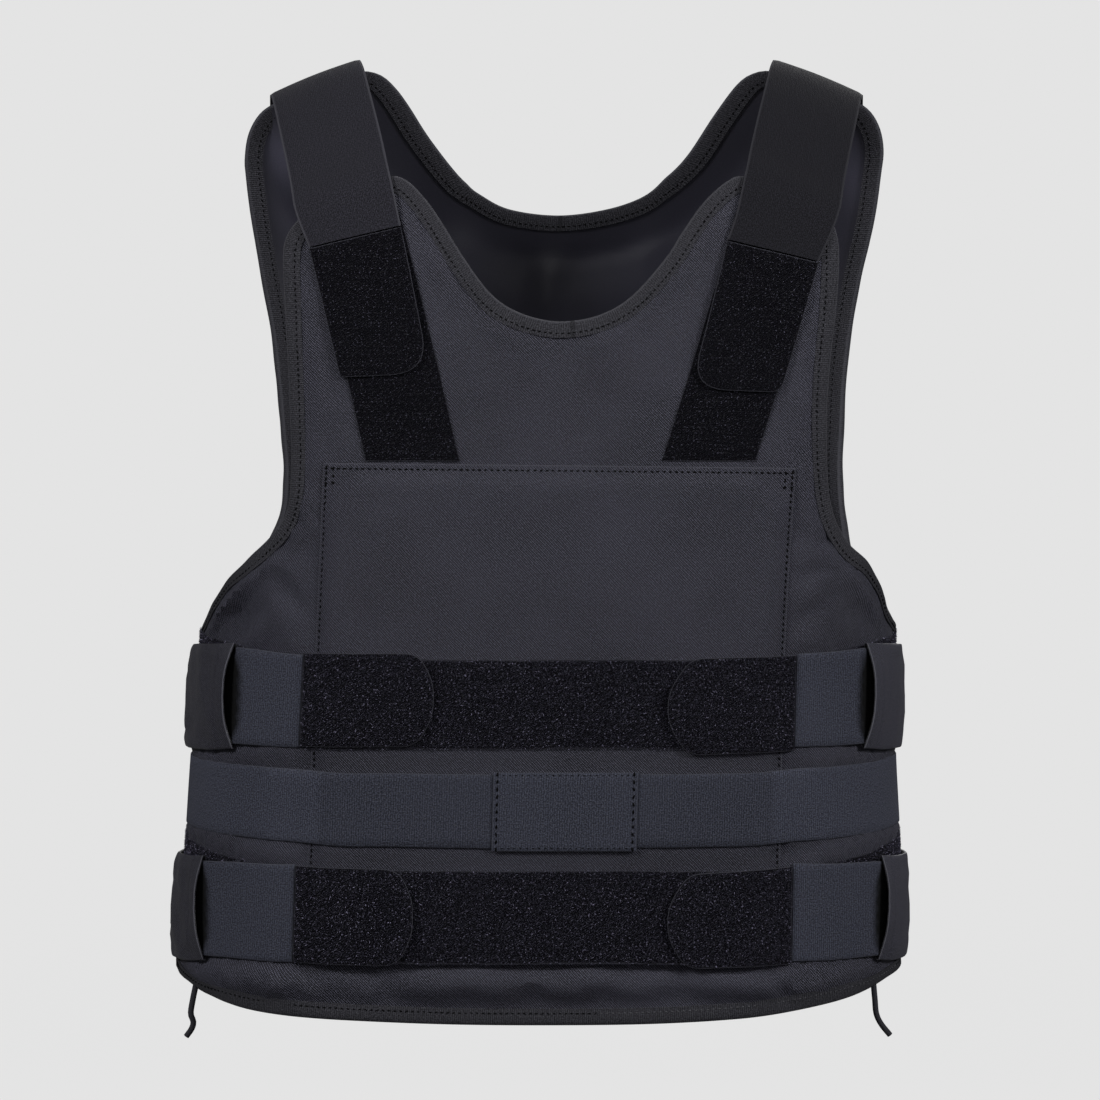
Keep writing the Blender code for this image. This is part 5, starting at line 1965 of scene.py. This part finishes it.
@dataclass
class ShoulderFastening:
    """A shoulder strap with its tab and the loop strip under it."""

    side: Side
    seam_in: tuple[float, float]
    seam_out: tuple[float, float]
    low_out: tuple[float, float]
    low_in: tuple[float, float]
    corner_out: float
    corner_in: float
    # How much darker the strap's colour is: partly painted shade, partly the tape's own darker colour, more
    # on the right.
    shade: float
    strip: Rows = (
        (95.5, -92, 0), (56.3, -235.3, 0), (109.4, -235.3, 0), (142, -115, 0))
    front_rows: Rows = (
        (95.6, -96, 147.5, -109, 2.6), (98, -83, 151, -101, 2.6), (101.6, -68, 154.6, -91.5, 2.7))
    air_rows: Rows = (
        (104.5, -66, -55.5, 157.5, -69, -79.5), (110, -45, -34.5, 163, -48, -57.5),
        (115.5, -22, -15, 168.5, -25, -37.5), (120, 2, 0.5, 173.2, -1, -21.5),
        (123, 20, 6.8, 176, 17, -14.8),
        (124.4, 34, 8.6, 177.6, 31, -12.6), (124.8, 45.5, 7.2, 178, 39.5, -13.8))
    back_rows: Rows = (
        (125, -6.5, 178, -27, 2.6), (124, -26, 176.5, -45, 2.1), (121.5, -50, 174, -66, 0.4))
    columns: int = 18
    spans: int = 95
    smoothings: int = 18
    tape: float = 53 * MM
    thickness: float = 1.2 * MM

    def plane(self, rows: Rows, steps: int) -> Array:
        """Outline in the plane from corner rows.

        Args:
            rows: Distance from the middle line, height and radius of each corner, in millimetres.
            steps: Spans in each rounded corner.

        Returns:
            Distance across and height of each point.
        """
        spots = rounded([(self.side.value * x, z, r) for x, z, r in rows], steps)
        spots = dense_polygon(counter_clockwise(spots), 2.5 * MM)
        return counter_clockwise(np.array([(FORM.across_at(x, z), z) for x, z in spots]))

    def build(self, wardrobe: Wardrobe, naps: NapWorks) -> None:
        """Make the three pieces.

        Args:
            wardrobe: The finishes.
            naps: What grows the pile.
        """
        word = self.side.word
        strip, tab = f"shoulder_loop_strip_{word}", f"shoulder_tab_{word}"
        cut = SheetCut(strip, self.plane(self.strip, 2), even(0.3 * MM), even(0.5 * MM), cell=4 * MM)
        piece = settle(cut.build(wardrobe["pile_ground"]), Cloth.PILE, strip)
        nap = naps.grow(piece, strip + "_nap", 0.0)
        rows = self.tab_rows(self.corner_out, self.corner_in)
        cut = SheetCut(tab, self.plane(rows, 8), self.tab_lift, even(1.1 * MM), cell=3.5 * MM)
        piece = settle(cut.build(wardrobe["pile_ground"]), Cloth.PILE, tab)
        nap = naps.grow(piece, tab + "_nap", 0.55 * MM)
        self.build_strap(wardrobe)

    def tab_rows(self, out: float = 0, inner: float = 0) -> Rows:
        """Corners of the tab, with the radii of the two lower ones."""
        return (*self.seam_in, 0), (*self.seam_out, 0), (*self.low_out, out), (*self.low_in, inner)

    def tab_lift(self, across: Array, z: Array) -> Array:
        """Lift of the tab, whose inner edge and lower end stand off a little.

        Args:
            across: Distances across.
            z: Heights.

        Returns:
            The lift at each place.
        """
        top, low = (self.seam_in[1] + self.seam_out[1]) / 2 * MM, self.low_in[1] * MM
        down = np.clip((top - z) / (top - low), 0, 1)
        inner = (self.seam_in[0] + (self.low_in[0] - self.seam_in[0]) * down) * MM
        near_inner = 1 - ease(np.abs(across) - inner, 0.0, 26 * MM)
        return 1.7 * MM + 2.0 * MM * near_inner * np.sin(math.pi * np.clip(down * 0.9, 0, 1)) ** 0.7

    def strap_rows(self) -> Array:
        """Middle surface of the strap, as rows of points from its inner to its outer edge.

        Returns:
            A grid of points, from the front to the back.
        """
        t = np.linspace(0, 1, self.columns + 1)
        side = self.side.value
        grid = []

        def on_panel(x_in: float, z_in: float, x_out: float, z_out: float, lift: float, behind: bool
                     ) -> Array:
            """A row that lies on a panel.

            Args:
                x_in: Distance of the inner end from the middle line, in millimetres like the rest.
                z_in: Its height.
                x_out: Distance of the outer end.
                z_out: Its height.
                lift: Lift off the panel's face.
                behind: Whether it lies on the back panel.

            Returns:
                The row's points.
            """
            xs = side * (x_in + (x_out - x_in) * t) * MM
            zs = (z_in + (z_out - z_in) * t) * MM
            across = np.array([FORM.across_at(x, z, 0.0, behind) for x, z in zip(xs, zs)])
            place = FORM.behind if behind else FORM.point
            folds = 0.0 if behind else FOLDS(across, zs)
            return place(across, zs, lift * MM + folds)

        (seam_in, z_in), (seam_out, z_out) = self.seam_in, self.seam_out
        grid.append(on_panel(seam_in, z_in + 0.6, seam_out, z_out + 0.6, 2.0, False))
        grid += [on_panel(*row, False) for row in self.front_rows]
        for x_in, y_in, z_in, x_out, y_out, z_out in self.air_rows:
            centre = float(FORM.section(np.array(z_in * MM))[0])
            inner = np.array([centre + side * x_in * MM, y_in * MM, z_in * MM])
            outer = np.array([centre + side * x_out * MM, y_out * MM, z_out * MM])
            row = inner + (outer - inner) * t[:, None]
            row[:, 2] += 1.2 * MM * np.sin(math.pi * t)
            grid.append(row)
        grid += [on_panel(*row, True) for row in self.back_rows]
        grid = np.array(grid)
        columns = []
        for k in range(self.columns + 1):
            line = smooth_curve(grid[:, k], 1 * MM, closed=False)
            run, even = np.linspace(0, 1, len(line)), np.linspace(0, 1, self.spans + 1)
            columns.append(np.stack([np.interp(even, run, line[:, j]) for j in range(3)], axis=1))
        rows = np.array(columns).transpose(1, 0, 2)
        for _ in range(self.smoothings):
            rows[1:-1] += 0.5 * (0.5 * (rows[:-2] + rows[2:]) - rows[1:-1])
        return rows

    def build_strap(self, wardrobe: Wardrobe) -> None:
        """Make the elastic strap.

        Args:
            wardrobe: The finishes.
        """
        grid = self.strap_rows()
        count, width = grid.shape[:2]
        along = np.gradient(grid, axis=0)
        over = np.gradient(grid, axis=1)
        normal = np.cross(over, along) * self.side.value
        normal /= np.linalg.norm(normal, axis=2, keepdims=True)
        run = np.concatenate([[0], np.cumsum(np.linalg.norm(np.diff(grid[:, width // 2], axis=0), axis=1))])
        t = np.linspace(0, 1, width)
        tape = self.tape
        plane = np.stack(np.broadcast_arrays(t * tape, run[:, None]), axis=2)
        rim = np.broadcast_to(np.minimum(t, 1 - t) * tape, (count, width))
        edge = np.clip(np.minimum(t, 1 - t) * width, 0, 1)[None, :, None]
        parts = MeshParts()
        top = grid + normal * self.thickness * (0.55 + 0.45 * edge)
        low = grid + normal * self.thickness * 0.45 * (1 - edge)
        plane, rim = plane.reshape(-1, 2), rim.ravel()
        # The strap is darkened by its shade share, partly painted shade and partly the tape's own darker
        # colour.
        first, second = (parts.add_points(face.reshape(-1, 3), plane, rim, self.shade)
                         for face in (top, low))
        faces = []
        for row in range(count - 1):
            for k in range(width - 1):
                a = row * width + k
                face = (a, a + 1, a + width + 1, a + width)
                faces.append(tuple(first + i for i in face))
                faces.append(tuple(second + i for i in reversed(face)))
        border = (list(range(width)) + [r * width + width - 1 for r in range(1, count)]
                  + [(count - 1) * width + k for k in range(width - 2, -1, -1)]
                  + [r * width for r in range(count - 2, 0, -1)])
        for a, b in zip(border, border[1:] + border[:1]):
            faces.append((first + b, first + a, second + a, second + b))
        parts.add_faces(faces)
        name = f"shoulder_strap_{self.side.word}"
        piece = parts.make(name, (wardrobe["strap_tape"],))
        recalculate(piece)
        settle(piece, Cloth.ELASTIC, name)


SHOULDERS = (
    ShoulderFastening(Side.LEFT, (94.2, -102.2), (145.7, -114.6), (125.6, -188.2), (75.5, -186.0),
                      3, 19, -0.27),
    ShoulderFastening(Side.RIGHT, (90.2, -110.3), (141.7, -122.8), (121.4, -196.8), (70.8, -194.6),
                      8, 17, -0.6),
)


@dataclass
class HemTie:
    """A loose tape end at a corner of the hem."""

    side: Side
    x: float
    z: float
    steps: Rows
    diameter: float = 3.4 * MM

    def build(self, wardrobe: Wardrobe) -> None:
        """Make the tie as a narrow tube.

        Args:
            wardrobe: The finishes.
        """
        across = FORM.across_at(self.x * MM, self.z * MM)
        top = FORM.point(np.array(across), np.array(self.z * MM), -2 * MM)
        route = smooth_curve(top + np.array(self.steps) * MM, 2 * MM, closed=False)
        name = f"hem_tie_{self.side.word}"
        curve = bpy.data.curves.new(name, "CURVE")
        curve.dimensions = "3D"
        curve.bevel_depth = self.diameter / 2
        curve.bevel_resolution = 3
        curve.use_fill_caps = True
        spline = curve.splines.new("POLY")
        spline.points.add(len(route) - 1)
        for spot, place in zip(spline.points, route):
            spot.co = (*place, 1.0)
        curve.materials.append(wardrobe["edge_tape"])
        piece = settle(in_scene(name, curve), Cloth.TRIM, name)


TIES = (
    HemTie(Side.LEFT, -201.5, -535.8, ((0, 0, 0), (-1.6, -0.6, -8), (-2.8, -0.6, -16), (-1.4, 0.4, -21),
                                       (-2.4, 1, -25), (-5.6, 1.6, -29.6))),
    HemTie(Side.RIGHT, 191.5, -533.75, ((0, 0, 0), (0.8, 0, -9), (1.6, 0, -17), (4.4, 0.8, -23),
                                        (9.6, 1.8, -29.5))),
)


@dataclass
class Studio:
    """Camera, backdrop and soft lights."""

    eye: tuple[float, float, float] = (-0.0034, -2.11, -0.285)
    view_angle: float = 17.51
    floor: float = -1.15

    def build(self) -> None:
        """Set up the studio."""
        self.camera()
        self.backdrop()
        self.lights()

    def camera(self) -> None:
        """The level camera in front of the vest."""
        data = bpy.data.cameras.new("camera")
        data.sensor_width = 36.0
        data.lens = 18.0 / math.tan(math.radians(self.view_angle) / 2)
        camera = in_scene("camera", data)
        camera.location = self.eye
        camera.rotation_euler = (math.radians(90), 0, 0)
        bpy.context.scene.camera = camera

    def backdrop(self) -> None:
        """A pale floor that sweeps up all round the vest."""
        reach, radius, top, spans = 6.0, 1.0, 7.0, 64
        profile = [(0.4, self.floor), (reach - radius, self.floor)]
        for k in range(1, 9):
            turn = math.pi / 2 * k / 8
            inset, rise = radius * (1 - math.sin(turn)), radius * (1 - math.cos(turn))
            profile.append((reach - inset, self.floor + rise))
        profile.append((reach, top))
        turns = [2 * math.pi * k / spans for k in range(spans)]
        points = [(r * math.cos(t), r * math.sin(t), z) for r, z in profile for t in turns]
        rings = [(a * spans, k, (k + 1) % spans) for a in range(len(profile) - 1) for k in range(spans)]
        faces = [(low + k, low + after, low + spans + after, low + spans + k) for low, k, after in rings]
        faces.append(tuple(range(spans)))
        mesh = bpy.data.meshes.new("backdrop")
        mesh.from_pydata(points, [], faces)
        mesh.shade_smooth()
        material = bpy.data.materials.new("pale_backdrop")
        material.use_nodes = True
        shader = material.node_tree.nodes["Principled BSDF"]
        for key, value in (("Base Color", (0.05, 0.05, 0.05, 1)), ("Roughness", 1.0),
                           ("Specular IOR Level", 0.0), ("Emission Color", (1, 1, 1, 1)),
                           ("Emission Strength", 0.765)):
            shader.inputs[key].default_value = value
        mesh.materials.append(material)
        sweep = in_scene("backdrop", mesh)
        sweep.visible_diffuse = False
        sweep.visible_glossy = False

    def lights(self) -> None:
        """Large soft lights and an even sky."""
        world = bpy.data.worlds.new("studio")
        world.use_nodes = True
        sky = world.node_tree.nodes["Background"]
        sky.inputs["Color"].default_value = (1, 1, 1, 1)
        sky.inputs["Strength"].default_value = 0.09
        bpy.context.scene.world = world
        bpy.context.scene.view_settings.view_transform = "Standard"
        for name, place, size, power in (
            ("key", (-2.0, -1.8, 1.3), 0.8, 46),
            ("right", (2.1, -1.7, 0.9), 0.8, 42),
            ("front", (0.2, -3.8, 0.4), 2.0, 13),
            ("rear", (0.4, 2.4, 1.2), 1.6, 30),
        ):
            data = bpy.data.lights.new(name, "AREA")
            data.shape = "SQUARE"
            data.size = size
            data.energy = power
            lamp = in_scene(name, data)
            lamp.location = place
            lamp.rotation_euler = (Vector((0, 0, -0.3)) - Vector(place)).to_track_quat("-Z", "Y").to_euler()


def front_covers() -> list[Array]:
    """Outlines of what lies on the front panel."""
    outlines = [dense_polygon(rounded(POCKET.corners), 6 * MM)]
    bands = FrontBands()
    for rows in (bands.upper, bands.lower, bands.waist):
        end = rows[-1][0] * MM
        outlines.append(LevelBand("", rows, -end, end, over_pocket, 0.0).outline())
    for shoulder in SHOULDERS:
        outlines.append(shoulder.plane(shoulder.strip, 2))
        outlines.append(shoulder.plane(shoulder.tab_rows(), 2))
        strap = ((101.6, -66, 0), *shoulder.tab_rows()[:2], (154.6, -88, 0))
        outlines.append(shoulder.plane(strap, 2))
    for fastening in FASTENINGS:
        rows = fastening.strap
        sleeve = tuple(row[:3] for row in fastening.sleeve)
        for table, first, last in ((rows, rows[0][0], 300), (sleeve, sleeve[0][0], sleeve[-1][0])):
            low, high = sorted(fastening.side.value * x * MM for x in (first, last))
            outlines.append(LevelBand("", table, low, high, over_pocket, 0.0).outline())
    return outlines


def back_covers() -> list[Array]:
    """Outlines of what is sewn on the back panel, across from the centre back."""
    ends = FORM.half_girth - 353 * MM
    outlines = []
    for top, low in ((-338, -403), (-398, -446), (-458, -525)):
        for side in (-1, 1):
            corners = ((ends, low * MM), (0.34, low * MM), (0.34, top * MM), (ends, top * MM))
            outlines.append(np.array(corners) * (side, 1))
    return outlines


def clear_default() -> None:
    """Remove what the scene holds besides the frame."""
    known = set(frame["nodes"].values()) | set(frame["bodies"].values())
    for thing in list(bpy.context.scene.objects):
        if thing not in known:
            bpy.data.objects.remove(thing, do_unlink=True)


def main() -> None:
    """Build every piece in order."""
    logging.basicConfig(level=logging.INFO, format="%(message)s")
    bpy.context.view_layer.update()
    clear_default()
    Studio().build()
    wardrobe = Wardrobe()
    for tie in TIES:
        tie.build(wardrobe)
    front = PaddedPanel("front", FRONT_EDGE_MM, False, (175 * MM, 228 * MM), covers=front_covers())
    back = PaddedPanel("back", BACK_EDGE_MM, True, (150 * MM, 205 * MM), covers=back_covers())
    seams = SeamWorks(wardrobe)
    for panel in (front, back):
        panel.build(wardrobe)
        panel.bind(wardrobe)
        panel.sew(seams)
    POCKET.build(wardrobe)
    FrontStitches().build(seams)
    naps = NapWorks(wardrobe)
    FrontBands().build(wardrobe, naps)
    for fastening in FASTENINGS:
        fastening.build(wardrobe, naps)
    for shoulder in SHOULDERS:
        shoulder.build(wardrobe, naps)


if __name__ == "__main__":
    main()
